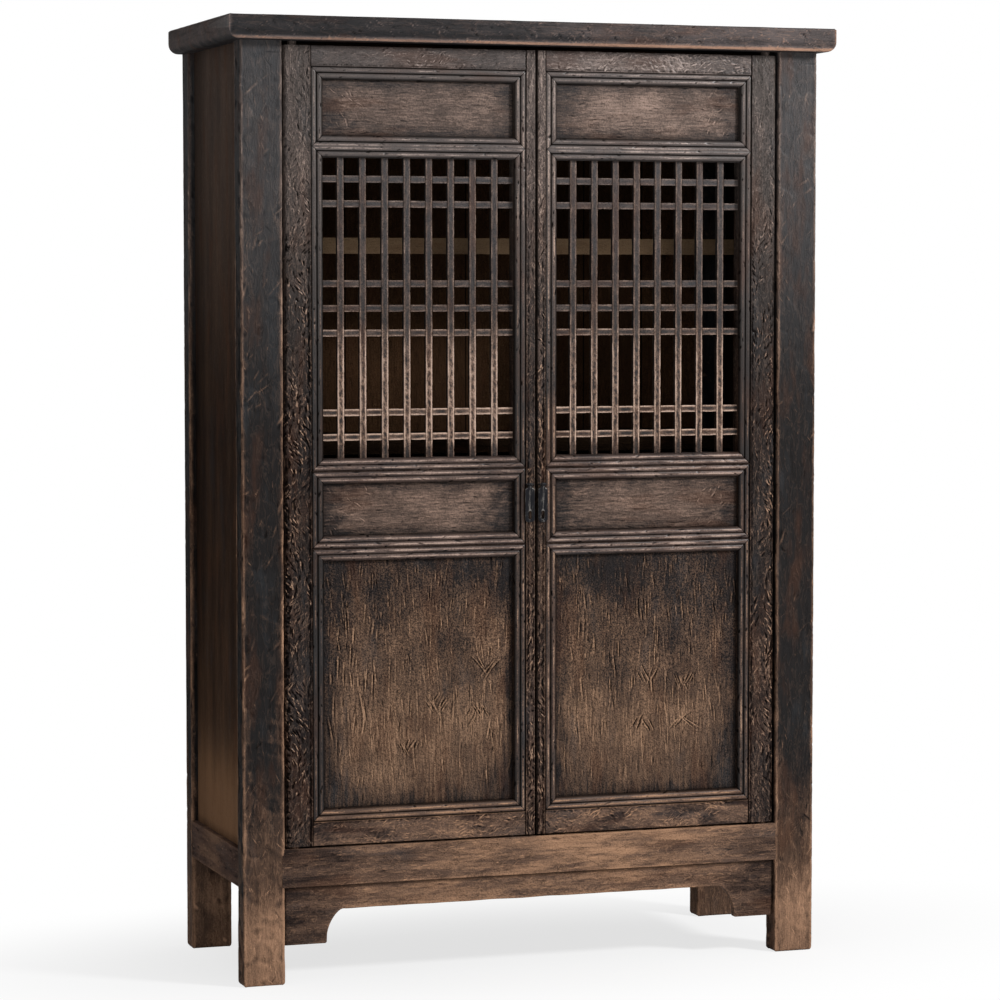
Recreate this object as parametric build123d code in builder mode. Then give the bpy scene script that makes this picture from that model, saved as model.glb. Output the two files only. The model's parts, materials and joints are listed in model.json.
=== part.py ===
"""Chinese book cabinet with two pivot-hung doors, each with a square lattice window.

Millimetres. Z is up, -Y is the front, and the origin is on the floor under the middle of
the top board. The left half is built first, and what has a twin is mirrored across X = 0.
"""

import os

from build123d import *

os.makedirs("parts", exist_ok=True)

# ---------------------------------------------------------------- overall sizes
height = 1900
carcase_width = 1218  # over the posts
carcase_depth = 470  # over the posts

# top board
top_thickness = 48
side_overhang = 28
front_overhang = 32
end_round = 20  # rounded lower edge at both ends
front_bevel = 8  # worn lower edge along the front
top_arris = 3

# posts
post_width = 86
post_depth = 48
post_arris = 4
post_tenon_width = 50
post_tenon_depth = 22
post_tenon_height = 20

# rails of the carcase
bottom_rail_height = 78
rail_clearance = 192  # from the floor to the underside of the bottom rails
front_rail_thickness = 40
rail_thickness = 30
top_rail_height = 50
front_top_rail_thickness = 24
rail_arris = 2

# joints of the carcase
tenon_thickness = 12
tenon_shoulder = 12
long_tenon = 50
short_tenon = 24
stub_tenon = 10
fit_gap = 0.2

# panels of the carcase
side_panel_recess = 12
side_panel_thickness = 12
back_panel_recess = 10
back_board_thickness = 10
back_board_count = 8
panel_groove = 10
panel_play = 0.5
floor_thickness = 18
floor_below_groove = 2  # from the side panels' grooves down to the floor board

# apron
apron_recess = 8
apron_thickness = 16
apron_height = 48
bracket_width = 87
bracket_drop = 67
bracket_throat = 32.5
bracket_side = 10  # straight part of the bracket's inner edge
bracket_corner = 4
apron_end_round = 6

# shelves
shelf_setback = 150
shelf_board = 20
shelf_lip = 32
shelf_lip_depth = 22
shelf_tops = (1473, 1070, 667)
bearer_height = 30
bearer_thickness = 22
shelf_play = 1.0

# doors
door_setback = 2
door_thickness = 34
door_side_gap = 3
door_meeting_gap = 3
door_bottom_gap = 3
door_top_gap = 8
hinge_stile_width = 79
meeting_stile_width = 43.5
foot_rail_height = 72
skirt_height = 491
waist_rail_height = 49
waist_height = 103.5
sill_rail_height = 49
frieze_rail_height = 43
frieze_height = 109
door_head_height = 64.5
door_arris = 1.5

# pivots
pivot_radius = 9
pivot_inset = 20  # from the hinge stile's outer edge to the pivot's axis
pivot_behind_face = 14
pivot_running_gap = 0.08
lower_pivot_engagement = 6.5
upper_pivot_engagement = 14
upper_socket_spare = 10  # lets the door be lifted off its lower pivot
hinge_front_round = 10
hinge_back_round = 14

# mouldings, grooves and tenons of the doors
moulding_width = 24
moulding_quirk = 1.2  # flat step beside the opening
moulding_valley = 2.6
moulding_inner_drop = 5
bead_crest = 0.4
face_depth = 11  # from the door's face to its panels, and the depth of the mitred shoulders
door_panel_thickness = 10
door_groove = 8
hinge_tenon = 45
meeting_tenon = 28

# lattice
lattice_bar = 14
lattice_depth = 12
lattice_recess = 13
upright_count = 8
short_cell = 34.5  # clear height between paired crossbars
end_crossbars = 2  # crossbars in the group at each end
middle_crossbars = 3
bar_stub = 6

# door stop
stop_height = 28
stop_half_length = 430
stop_drop = 12
stop_gap = 0.5

# iron pulls
wire_radius = 1.6
staple_half_width = 7
staple_in_wood = 14
pull_running_gap = 0.08
knuckle_radius = 3.2
knuckle_length = 8.4
pull_gap = 1.2
pull_from_seam = 13.8
pull_above_waist = 95  # from the waist panel's lower edge up to the staple
pull_width = 20
pull_drop = 76
pull_thickness = 3
pull_neck = 7
pull_lower_corner = 7
pull_upper_corner = 3
slot_width = 7
slot_length = 17
slot_above_end = 6

# ---------------------------------------------------------------- places worked out
half_width = carcase_width / 2
inner_x = half_width - post_width
front_y = (front_overhang - carcase_depth) / 2
back_y = front_y + carcase_depth
front_post_back = front_y + post_depth
back_post_front = back_y - post_depth
post_top = height - top_thickness

rail_bottom = rail_clearance
rail_top = rail_clearance + bottom_rail_height
top_rail_bottom = post_top - top_rail_height

panel_outer_x = half_width - side_panel_recess
panel_inner_x = panel_outer_x - side_panel_thickness
back_board_back = back_y - back_panel_recess
back_board_front = back_board_back - back_board_thickness
floor_top = rail_top - panel_groove - floor_below_groove
floor_bottom = floor_top - floor_thickness
side_rail_x = half_width - rail_thickness / 2
side_top_outer = panel_inner_x
side_top_inner = side_top_outer - rail_thickness
back_rail_front = back_y - rail_thickness
back_rail_y = back_y - rail_thickness / 2
front_rail_back = front_y + front_rail_thickness
front_rail_y = front_y + front_rail_thickness / 2
front_top_back = front_post_back + front_top_rail_thickness
bearer_inner = panel_inner_x - bearer_thickness
shelf_front = front_y + shelf_setback

# the left door
door_front = front_y + door_setback
door_back = door_front + door_thickness
door_low = rail_top + door_bottom_gap
door_high = post_top - door_top_gap
hinge_edge = -(inner_x - door_side_gap)
meeting_edge = -door_meeting_gap / 2
opening_left = hinge_edge + hinge_stile_width
opening_right = meeting_edge - meeting_stile_width
skirt_low = door_low + foot_rail_height
skirt_high = skirt_low + skirt_height
waist_low = skirt_high + waist_rail_height
waist_high = waist_low + waist_height
lattice_low = waist_high + sill_rail_height
frieze_high = door_high - door_head_height
frieze_low = frieze_high - frieze_height
lattice_high = frieze_low - frieze_rail_height
groove_front = door_front + face_depth
groove_back = groove_front + door_panel_thickness
lattice_front = door_front + lattice_recess
lattice_back = lattice_front + lattice_depth
pivot_x = hinge_edge + pivot_inset
pivot_y = door_front + pivot_behind_face

openings = ((skirt_low, skirt_high), (waist_low, waist_high),
            (lattice_low, lattice_high), (frieze_low, frieze_high))
panel_openings = (openings[0], openings[1], openings[3])

# lattice bars: uprights share the width evenly, crossbars stand in three groups
opening_width = opening_right - opening_left
upright_gap = (opening_width - upright_count * lattice_bar) / (upright_count + 1)
upright_xs = [opening_left + upright_gap + lattice_bar / 2 + k * (upright_gap + lattice_bar)
              for k in range(upright_count)]
cell_pitch = short_cell + lattice_bar
first_crossbar = short_cell + lattice_bar / 2
lattice_middle = (lattice_low + lattice_high) / 2
crossbar_zs = (
    [lattice_low + first_crossbar + k * cell_pitch for k in range(end_crossbars)]
    + [lattice_middle + (k - (middle_crossbars - 1) / 2) * cell_pitch
       for k in range(middle_crossbars)]
    + [lattice_high - first_crossbar - k * cell_pitch for k in range(end_crossbars)])

# the left pull
pull_x = -pull_from_seam
pull_z = waist_low + pull_above_waist
pull_back = door_front - pull_gap
bar_y = pull_back - knuckle_radius


# ---------------------------------------------------------------- shared operations
def block(x0, x1, y0, y1, z0, z1, mode=Mode.ADD):
    """Add or cut a rectangular block between the given limits, in the open part."""
    with Locations(((x0 + x1) / 2, (y0 + y1) / 2, (z0 + z1) / 2)):
        Box(abs(x1 - x0), abs(y1 - y0), abs(z1 - z0), mode=mode)


def socket_for(limits, gap=fit_gap):
    """Cut the hole that takes a tenon with the given limits, with a gap all round."""
    pairs = [sorted(limits[k:k + 2]) for k in (0, 2, 4)]
    grown = [value for low, high in pairs for value in (low - gap, high + gap)]
    block(*grown, mode=Mode.SUBTRACT)


def save(piece, label):
    """Label a finished piece and write it."""
    piece.label = label
    export_step(piece, f"parts/{label}.step")


def twin(piece):
    """The same piece for the other side of the cabinet."""
    with BuildPart() as other:
        add(piece)
        mirror(about=Plane.YZ, mode=Mode.REPLACE)
    return other.part


def save_pair(piece, left_label, right_label):
    """Write a left-hand piece and its mirrored twin."""
    right = twin(piece)
    save(piece, left_label)
    save(right, right_label)


# ---------------------------------------------------------------- tenons of the carcase
def across_tenon(side, y_mid, z0, z1):
    """Limits of the tenon at one end of a rail that runs from left to right."""
    return (side * inner_x, side * (inner_x + long_tenon), y_mid - tenon_thickness / 2,
            y_mid + tenon_thickness / 2, z0 + tenon_shoulder, z1 - tenon_shoulder)


def along_tenon(side, end, x_mid, z0, z1, length=short_tenon, shoulder=tenon_shoulder):
    """Limits of the tenon at one end of a rail that runs from front to back."""
    face = front_post_back if end < 0 else back_post_front
    return (side * x_mid - tenon_thickness / 2, side * x_mid + tenon_thickness / 2,
            face, face + end * length, z0 + shoulder, z1 - shoulder)


def bearer_tenon(side, end, shelf_top):
    """Limits of a shelf bearer's stub tenon."""
    top = shelf_top - shelf_board
    return along_tenon(side, end, panel_inner_x - bearer_thickness / 2,
                       top - bearer_height, top, stub_tenon, tenon_shoulder / 2)


def side_top_tenon(side, end):
    """Limits of the tenon on a side top rail."""
    middle = (side_top_outer + side_top_inner) / 2
    return along_tenon(side, end, middle, top_rail_bottom, post_top)


def front_top_tenon(side):
    """Limits of the front top rail's tenon into the side top rails."""
    y_mid = (front_post_back + front_top_back) / 2
    return (side * side_top_inner, side * (side_top_inner + stub_tenon),
            y_mid - tenon_thickness / 2, y_mid + tenon_thickness / 2,
            top_rail_bottom + tenon_shoulder, post_top - tenon_shoulder)


def apron_tenon(side):
    """Limits of the apron's stub tenon into a post."""
    y_front = front_y + apron_recess
    return (side * inner_x, side * (inner_x + stub_tenon), y_front + apron_thickness / 4,
            y_front + apron_thickness * 3 / 4, rail_bottom - apron_height, rail_bottom - bracket_side)


def post_tenon(y_mid, side=-1):
    """Limits of the tenon that holds a post in the top board."""
    x_mid = side * (half_width - post_width / 2)
    return (x_mid - post_tenon_width / 2, x_mid + post_tenon_width / 2,
            y_mid - post_tenon_depth / 2, y_mid + post_tenon_depth / 2,
            post_top, post_top + post_tenon_height)


# ---------------------------------------------------------------- carcase
def side_panel_groove(end):
    """Cut the groove for the left side panel in the post at one end of it."""
    face = front_post_back if end < 0 else back_post_front
    block(-panel_outer_x, -panel_inner_x, face, face + end * panel_groove,
          rail_top - panel_groove, post_top, mode=Mode.SUBTRACT)


def left_post(y0, y1, end):
    """A left post: the front one for end = -1, the back one for end = 1."""
    with BuildPart() as post:
        with BuildSketch():
            with Locations((-(half_width - post_width / 2), (y0 + y1) / 2)):
                RectangleRounded(post_width, post_depth, post_arris)
        extrude(amount=post_top)
        block(*post_tenon((y0 + y1) / 2))
        socket_for(along_tenon(-1, end, side_rail_x, rail_bottom, rail_top))
        socket_for(side_top_tenon(-1, end))
        side_panel_groove(end)
        for shelf_top in shelf_tops:
            socket_for(bearer_tenon(-1, end, shelf_top))
        if end < 0:
            socket_for(across_tenon(-1, front_rail_y, rail_bottom, rail_top))
            socket_for(apron_tenon(-1))
        else:
            socket_for(across_tenon(-1, back_rail_y, rail_bottom, rail_top))
            socket_for(across_tenon(-1, back_rail_y, top_rail_bottom, post_top))
            block(-inner_x, -(inner_x + panel_groove), back_board_front, back_board_back,
                  rail_top - panel_groove, top_rail_bottom + panel_groove, mode=Mode.SUBTRACT)
    return post.part


def top_board():
    """Plank top with rounded lower edges, sockets for the posts and for the door pivots."""
    half_length = half_width + side_overhang
    with BuildPart() as top:
        block(-half_length, half_length, front_y - front_overhang, back_y, post_top, height)
        lower = top.faces().sort_by(Axis.Z)[0].edges()
        fillet(lower.filter_by(Axis.Y), radius=end_round)
        front_low = top.edges().filter_by(Axis.X).group_by(Axis.Y)[0].sort_by(Axis.Z)[0]
        chamfer(front_low, length=front_bevel)
        chamfer(top.faces().sort_by(Axis.Z)[-1].edges(), length=top_arris)
        for side in (-1, 1):
            for y_mid in ((front_y + front_post_back) / 2, (back_y + back_post_front) / 2):
                socket_for(post_tenon(y_mid, side))
            block(side * panel_outer_x, side * panel_inner_x, front_post_back - panel_groove,
                  back_post_front + panel_groove, post_top, post_top + panel_groove,
                  mode=Mode.SUBTRACT)
        socket_depth = upper_pivot_engagement + upper_socket_spare
        with Locations((pivot_x, pivot_y, post_top), (-pivot_x, pivot_y, post_top)):
            Cylinder(pivot_radius + pivot_running_gap, socket_depth,
                     align=(Align.CENTER, Align.CENTER, Align.MIN), mode=Mode.SUBTRACT)
    return top.part


def floor_groove(x0, x1, y0, y1):
    """Cut the groove for the floor board in the open rail."""
    block(x0, x1, y0, y1, floor_bottom, floor_top, mode=Mode.SUBTRACT)


def front_bottom_rail():
    """Rail under the doors, with the two blind sockets that their lower pivots stand in."""
    with BuildPart() as rail:
        block(-inner_x, inner_x, front_y, front_rail_back, rail_bottom, rail_top)
        front_edges = rail.faces().sort_by(Axis.Y)[0].edges().filter_by(Axis.X)
        chamfer(front_edges, length=rail_arris)
        for side in (-1, 1):
            block(*across_tenon(side, front_rail_y, rail_bottom, rail_top))
        floor_groove(-inner_x, inner_x, front_rail_back - door_groove, front_rail_back)
        with Locations((pivot_x, pivot_y, rail_top), (-pivot_x, pivot_y, rail_top)):
            Cylinder(pivot_radius + pivot_running_gap, lower_pivot_engagement,
                     align=(Align.CENTER, Align.CENTER, Align.MAX), mode=Mode.SUBTRACT)
    return rail.part


def back_rail(z0, z1, groove_z):
    """A back rail, with the groove for the back boards starting at groove_z."""
    with BuildPart() as rail:
        block(-inner_x, inner_x, back_rail_front, back_y, z0, z1)
        for side in (-1, 1):
            block(*across_tenon(side, back_rail_y, z0, z1))
        block(-inner_x, inner_x, back_board_front, back_board_back,
              groove_z, groove_z + panel_groove, mode=Mode.SUBTRACT)
        if z0 == rail_bottom:
            floor_groove(-inner_x, inner_x, back_rail_front, back_rail_front + door_groove)
    return rail.part


def left_bottom_rail():
    """Side rail, flush with the posts, its upper edge grooved for the side panel."""
    with BuildPart() as rail:
        block(-half_width, -(half_width - rail_thickness), front_post_back, back_post_front,
              rail_bottom, rail_top)
        outer_edges = rail.faces().sort_by(Axis.X)[0].edges().filter_by(Axis.Y)
        chamfer(outer_edges, length=rail_arris)
        for end in (-1, 1):
            block(*along_tenon(-1, end, side_rail_x, rail_bottom, rail_top))
        block(-panel_outer_x, -panel_inner_x, front_post_back, back_post_front,
              rail_top - panel_groove, rail_top, mode=Mode.SUBTRACT)
        inner_face = -(half_width - rail_thickness)
        floor_groove(inner_face - door_groove, inner_face, front_post_back, back_post_front)
    return rail.part


def left_top_rail():
    """Rail of the top frame, hidden behind the side panel."""
    with BuildPart() as rail:
        block(-side_top_outer, -side_top_inner, front_post_back, back_post_front,
              top_rail_bottom, post_top)
        for end in (-1, 1):
            block(*side_top_tenon(-1, end))
        socket_for(front_top_tenon(-1))
    return rail.part


def front_top_rail():
    """Rail of the top frame behind the doors."""
    with BuildPart() as rail:
        block(-side_top_inner, side_top_inner, front_post_back, front_top_back,
              top_rail_bottom, post_top)
        for side in (-1, 1):
            block(*front_top_tenon(side))
    return rail.part


def door_stop():
    """Batten on the front top rail that both doors close against."""
    with BuildPart() as stop:
        block(-stop_half_length, stop_half_length, door_back + stop_gap, front_post_back,
              post_top - stop_drop - stop_height, post_top - stop_drop)
        chamfer(stop.faces().sort_by(Axis.Y)[0].edges().filter_by(Axis.X), length=door_arris)
    return stop.part


def left_side_panel():
    """Flat side panel, held in grooves on all four sides."""
    tongue = panel_groove - panel_play
    with BuildPart() as panel:
        block(-panel_outer_x, -panel_inner_x, front_post_back - tongue, back_post_front + tongue,
              rail_top - tongue, post_top + tongue)
    return panel.part


def back_boards():
    """Upright back boards, edge to edge between the back posts."""
    tongue = panel_groove - panel_play
    board_width = 2 * (inner_x + tongue) / back_board_count
    with BuildPart() as boards:
        for k in range(back_board_count):
            left = -(inner_x + tongue) + k * board_width
            block(left, left + board_width - panel_play / 2, back_board_front, back_board_back,
                  rail_top - tongue, top_rail_bottom + tongue)
    return boards.part


def floor_board():
    """Floor of the cabinet, tongued into the bottom rails and notched round the posts."""
    tongue = door_groove - panel_play
    side_x = half_width - rail_thickness + tongue
    with BuildPart() as board:
        block(-side_x, side_x, front_rail_back - tongue, back_rail_front + tongue,
              floor_bottom, floor_top)
        for side in (-1, 1):
            block(side * (inner_x - fit_gap), side * half_width, front_y,
                  front_post_back + fit_gap, floor_bottom, floor_top, mode=Mode.SUBTRACT)
            block(side * (inner_x - fit_gap), side * half_width, back_post_front - fit_gap,
                  back_y, floor_bottom, floor_top, mode=Mode.SUBTRACT)
    return board.part


def front_apron():
    """One board under the bottom rail, cut away to leave a concave bracket at each end."""
    low = rail_bottom - apron_height
    tip = low - bracket_drop
    bracket_x = inner_x - bracket_width
    throat_x = bracket_x - bracket_throat
    with BuildPart() as apron:
        with BuildSketch(Plane.XZ.offset(-(front_y + apron_recess))) as outline:
            with BuildLine():
                Polyline((0, rail_bottom), (inner_x, rail_bottom), (inner_x, tip),
                         (bracket_x, tip), (bracket_x, tip + bracket_side))
                TangentArc((bracket_x, tip + bracket_side), (throat_x, low), tangent=(0, 1))
                Polyline((throat_x, low), (0, low), (0, rail_bottom))
            make_face()
            tips = outline.vertices().filter_by_position(Axis.Y, tip - 1, tip + 1)
            fillet(tips.filter_by_position(Axis.X, 0, inner_x - 1), radius=bracket_corner)
            mirror(about=Plane.YZ)
        extrude(amount=-apron_thickness)
        ends = apron.edges().filter_by(Axis.Z).group_by(Axis.Y)[0]
        outer_ends = ends.sort_by(lambda edge: abs(edge.center().X))[-2:]
        fillet(outer_ends, radius=apron_end_round)
        for side in (-1, 1):
            block(*apron_tenon(side))
    return apron.part


def shelf(shelf_top):
    """Shelf board with a deep front lip, notched round the back posts."""
    side_x = panel_inner_x - shelf_play
    with BuildPart() as board:
        block(-side_x, side_x, shelf_front, back_board_front - shelf_play,
              shelf_top - shelf_board, shelf_top)
        lip_x = bearer_inner - shelf_play / 2
        block(-lip_x, lip_x, shelf_front, shelf_front + shelf_lip_depth,
              shelf_top - shelf_lip, shelf_top - shelf_board)
        for side in (-1, 1):
            block(side * (inner_x - shelf_play), side * half_width, back_post_front - shelf_play,
                  back_y, shelf_top - shelf_board, shelf_top, mode=Mode.SUBTRACT)
    return board.part


def shelf_bearers(shelf_top):
    """Left and right bearer of one shelf, each tenoned between two posts."""
    top = shelf_top - shelf_board
    with BuildPart() as bearers:
        for side in (-1, 1):
            block(side * panel_inner_x, side * bearer_inner, front_post_back, back_post_front,
                  top - bearer_height, top)
            for end in (-1, 1):
                block(*bearer_tenon(side, end, shelf_top))
    return bearers.part


# ---------------------------------------------------------------- the left door
def moulding_cutter(z0, z1):
    """Ring that carves the two beads round an opening, mitred at its four corners.

    The section is drawn outwards from the opening's edge (first coordinate) and back from
    the door's face (second coordinate), and is swept once round the opening.
    """
    middle = (opening_left + opening_right) / 2
    bead_width = (moulding_width - moulding_quirk) / 2
    inner_crest = (moulding_quirk + bead_width / 2, bead_crest)
    outer_crest = (moulding_width - bead_width / 2, bead_crest)
    valley = (moulding_quirk + bead_width, moulding_valley)
    with BuildPart() as cutter:
        with BuildLine() as around:
            Polyline((middle, door_front, z0), (opening_right, door_front, z0),
                     (opening_right, door_front, z1), (opening_left, door_front, z1),
                     (opening_left, door_front, z0), close=True)
        section_plane = Plane(origin=(middle, door_front, z0), x_dir=(0, 0, -1), z_dir=(1, 0, 0))
        with BuildSketch(section_plane):
            with BuildLine():
                Polyline((moulding_width, moulding_valley), (moulding_width, -1), (-1, -1),
                         (-1, moulding_inner_drop), (moulding_quirk, moulding_inner_drop))
                ThreePointArc((moulding_quirk, moulding_inner_drop), inner_crest, valley)
                ThreePointArc(valley, outer_crest, (moulding_width, moulding_valley))
            make_face()
        sweep(path=around.wires()[0], transition=Transition.RIGHT)
    return cutter.part


def shoulder_points(z0, z1):
    """Front outline of a rail whose mouldings are mitred into the stiles at both ends."""
    if z0 == door_low:
        steps = ((0, z1), (moulding_width, z1 - moulding_width), (moulding_width, z0))
    elif z1 == door_high:
        steps = ((moulding_width, z1), (moulding_width, z0 + moulding_width), (0, z0))
    else:
        steps = ((0, z1), ((z1 - z0) / 2, (z0 + z1) / 2), (0, z0))
    left = [(opening_left - reach, z) for reach, z in steps]
    right = [(opening_right + reach, z) for reach, z in reversed(steps)]
    return left + right


def rail_shoulders(z0, z1):
    """The mitred front layer of a rail, which the stiles are cut to receive."""
    with BuildPart() as layer:
        with BuildSketch(Plane.XZ.offset(-door_front)):
            with BuildLine():
                Polyline(*shoulder_points(z0, z1), close=True)
            make_face()
        extrude(amount=-face_depth)
    return layer.part


def door_tenon(side, z0, z1):
    """Limits of a door rail's tenon: into the hinge stile for side = -1."""
    face = opening_left if side < 0 else opening_right
    length = hinge_tenon if side < 0 else meeting_tenon
    return (face, face + side * length, groove_front, groove_back,
            z0 + door_groove, z1 - door_groove)


door_rails = {
    "foot_rail": (door_low, skirt_low),
    "waist_rail": (skirt_high, waist_low),
    "sill_rail": (waist_high, lattice_low),
    "frieze_rail": (lattice_high, frieze_low),
    "head_rail": (frieze_high, door_high),
}
mouldings = {opening: moulding_cutter(*opening) for opening in openings}
shoulders = {span: rail_shoulders(*span) for span in door_rails.values()}


def crossbar_limits(z_mid):
    """Limits of one lattice crossbar, stubs included."""
    return (opening_left - bar_stub, opening_right + bar_stub, lattice_front, lattice_back,
            z_mid - lattice_bar / 2, z_mid + lattice_bar / 2)


def upright_limits(x_mid):
    """Limits of one lattice upright, stubs included."""
    return (x_mid - lattice_bar / 2, x_mid + lattice_bar / 2, lattice_front, lattice_back,
            lattice_low - bar_stub, lattice_high + bar_stub)


def door_rail(z0, z1):
    """A door rail: mitred face, tenons, panel grooves or lattice sockets, and its mouldings."""
    with BuildPart() as rail:
        block(opening_left, opening_right, door_front, door_back, z0, z1)
        add(shoulders[(z0, z1)])
        for side in (-1, 1):
            block(*door_tenon(side, z0, z1))
        for low, high in panel_openings:
            if z0 == high:
                block(opening_left, opening_right, groove_front, groove_back,
                      z0, z0 + door_groove, mode=Mode.SUBTRACT)
            if z1 == low:
                block(opening_left, opening_right, groove_front, groove_back,
                      z1 - door_groove, z1, mode=Mode.SUBTRACT)
        if z1 == lattice_low or z0 == lattice_high:
            for x_mid in upright_xs:
                socket_for(upright_limits(x_mid))
        for opening in openings:
            if z0 == opening[1] or z1 == opening[0]:
                add(mouldings[opening], mode=Mode.SUBTRACT)
    return rail.part


def door_stile(outer_edge, opening_edge, side):
    """Blank of a stile, cut for the rails, the panels, the lattice and the mouldings."""
    with BuildPart() as stile:
        block(outer_edge, opening_edge, door_front, door_back, door_low, door_high)
        for z0, z1 in door_rails.values():
            add(shoulders[(z0, z1)], mode=Mode.SUBTRACT)
            socket_for(door_tenon(side, z0, z1))
        for low, high in panel_openings:
            block(opening_edge, opening_edge + side * door_groove, groove_front, groove_back,
                  low - door_groove, high + door_groove, mode=Mode.SUBTRACT)
        for z_mid in crossbar_zs:
            socket_for(crossbar_limits(z_mid))
        for opening in openings:
            add(mouldings[opening], mode=Mode.SUBTRACT)
    return stile.part


def hinge_stile():
    """Stile with rounded outer edges and a wooden pivot pin at each end."""
    with BuildPart() as stile:
        add(door_stile(hinge_edge, opening_left, -1))
        outer = stile.edges().filter_by(Axis.Z).group_by(Axis.X)[0].sort_by(Axis.Y)
        fillet(outer[0], radius=hinge_front_round)
        outer = stile.edges().filter_by(Axis.Z).filter_by_position(
            Axis.X, hinge_edge - 1, hinge_edge + 1)
        fillet(outer.sort_by(Axis.Y)[-1], radius=hinge_back_round)
        lower_length = door_bottom_gap + lower_pivot_engagement
        upper_length = door_top_gap + upper_pivot_engagement
        with Locations((pivot_x, pivot_y, door_low)):
            Cylinder(pivot_radius, lower_length, align=(Align.CENTER, Align.CENTER, Align.MAX))
        with Locations((pivot_x, pivot_y, door_high)):
            Cylinder(pivot_radius, upper_length, align=(Align.CENTER, Align.CENTER, Align.MIN))
    return stile.part


def meeting_stile():
    """Stile at the seam, with the two holes that take the staple."""
    with BuildPart() as stile:
        add(door_stile(meeting_edge, opening_right, 1))
        seam = stile.edges().filter_by(Axis.Z).group_by(Axis.X)[-1].sort_by(Axis.Y)[0]
        chamfer(seam, length=door_arris)
        for offset in (-staple_half_width, staple_half_width):
            with Locations(Plane(origin=(pull_x + offset, door_front, pull_z), z_dir=(0, 1, 0))):
                Cylinder(wire_radius + fit_gap, staple_in_wood + fit_gap,
                         align=(Align.CENTER, Align.CENTER, Align.MIN), mode=Mode.SUBTRACT)
    return stile.part


def door_panel(z0, z1):
    """Flat panel of a door, loose in its grooves."""
    tongue = door_groove - panel_play
    with BuildPart() as panel:
        block(opening_left - tongue, opening_right + tongue, groove_front, groove_back,
              z0 - tongue, z1 + tongue)
    return panel.part


def lattice_uprights():
    """Uprights of the lattice, halved from behind where the crossbars pass."""
    halving = lattice_back - lattice_depth / 2
    with BuildPart() as bars:
        for x_mid in upright_xs:
            block(*upright_limits(x_mid))
        for z_mid in crossbar_zs:
            block(opening_left, opening_right, halving, lattice_back,
                  z_mid - lattice_bar / 2, z_mid + lattice_bar / 2, mode=Mode.SUBTRACT)
    return bars.part


def lattice_crossbars():
    """Crossbars of the lattice, halved from the front where the uprights pass."""
    halving = lattice_back - lattice_depth / 2
    with BuildPart() as bars:
        for z_mid in crossbar_zs:
            block(*crossbar_limits(z_mid))
        for x_mid in upright_xs:
            block(x_mid - lattice_bar / 2, x_mid + lattice_bar / 2, lattice_front, halving,
                  lattice_low, lattice_high, mode=Mode.SUBTRACT)
    return bars.part


def pull_staple():
    """Wire staple driven into the meeting stile, the bar that the pull hangs on."""
    left, right = pull_x - staple_half_width, pull_x + staple_half_width
    inside = door_front + staple_in_wood
    with BuildPart() as staple:
        with BuildLine() as wire:
            Polyline((left, inside, pull_z), (left, bar_y, pull_z), (right, bar_y, pull_z),
                     (right, inside, pull_z))
        with BuildSketch(Plane(origin=(left, inside, pull_z), z_dir=(0, -1, 0))):
            Circle(wire_radius)
        sweep(path=wire.wires()[0], transition=Transition.RIGHT)
    return staple.part


def pull_plate():
    """Iron drop plate with a rolled knuckle on top and a slot near its lower end."""
    lower_end = pull_z - pull_drop
    shoulder = pull_z - pull_neck
    slot_middle = lower_end + slot_above_end + slot_length / 2
    with BuildPart() as plate:
        with BuildSketch(Plane.XZ.offset(-pull_back)) as outline:
            with Locations((pull_x, (lower_end + shoulder) / 2)):
                Rectangle(pull_width, shoulder - lower_end)
            fillet(outline.vertices().group_by(Axis.Y)[0], radius=pull_lower_corner)
            chamfer(outline.vertices().group_by(Axis.Y)[-1], length=pull_upper_corner)
            with Locations((pull_x, shoulder)):
                Rectangle(knuckle_length, pull_neck, align=(Align.CENTER, Align.MIN))
            with Locations((pull_x, slot_middle)):
                SlotOverall(slot_length, slot_width, rotation=90, mode=Mode.SUBTRACT)
        extrude(amount=pull_thickness)
        with BuildSketch(Plane.YZ.offset(pull_x)) as ends:
            with Locations((bar_y, pull_z)):
                Circle(knuckle_radius)
        extrude(amount=knuckle_length / 2, both=True)
        with BuildSketch(Plane.YZ.offset(pull_x)) as eye:
            with Locations((bar_y, pull_z)):
                Circle(wire_radius + pull_running_gap)
        extrude(amount=knuckle_length, both=True, mode=Mode.SUBTRACT)
    return plate.part


# ---------------------------------------------------------------- write every piece
save_pair(left_post(front_y, front_post_back, -1), "front_left_post", "front_right_post")
save_pair(left_post(back_post_front, back_y, 1), "back_left_post", "back_right_post")
save(top_board(), "top_board")
save(front_bottom_rail(), "front_bottom_rail")
save(back_rail(rail_bottom, rail_top, rail_top - panel_groove), "back_bottom_rail")
save(back_rail(top_rail_bottom, post_top, top_rail_bottom), "back_top_rail")
save_pair(left_bottom_rail(), "left_bottom_rail", "right_bottom_rail")
save_pair(left_top_rail(), "left_top_rail", "right_top_rail")
save(front_top_rail(), "front_top_rail")
save(door_stop(), "door_stop")
save_pair(left_side_panel(), "left_side_panel", "right_side_panel")
save(back_boards(), "back_boards")
save(floor_board(), "floor_board")
save(front_apron(), "front_apron")
for level, shelf_top in zip(("upper", "middle", "lower"), shelf_tops):
    save(shelf(shelf_top), f"{level}_shelf")
    save(shelf_bearers(shelf_top), f"{level}_shelf_bearers")

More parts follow.
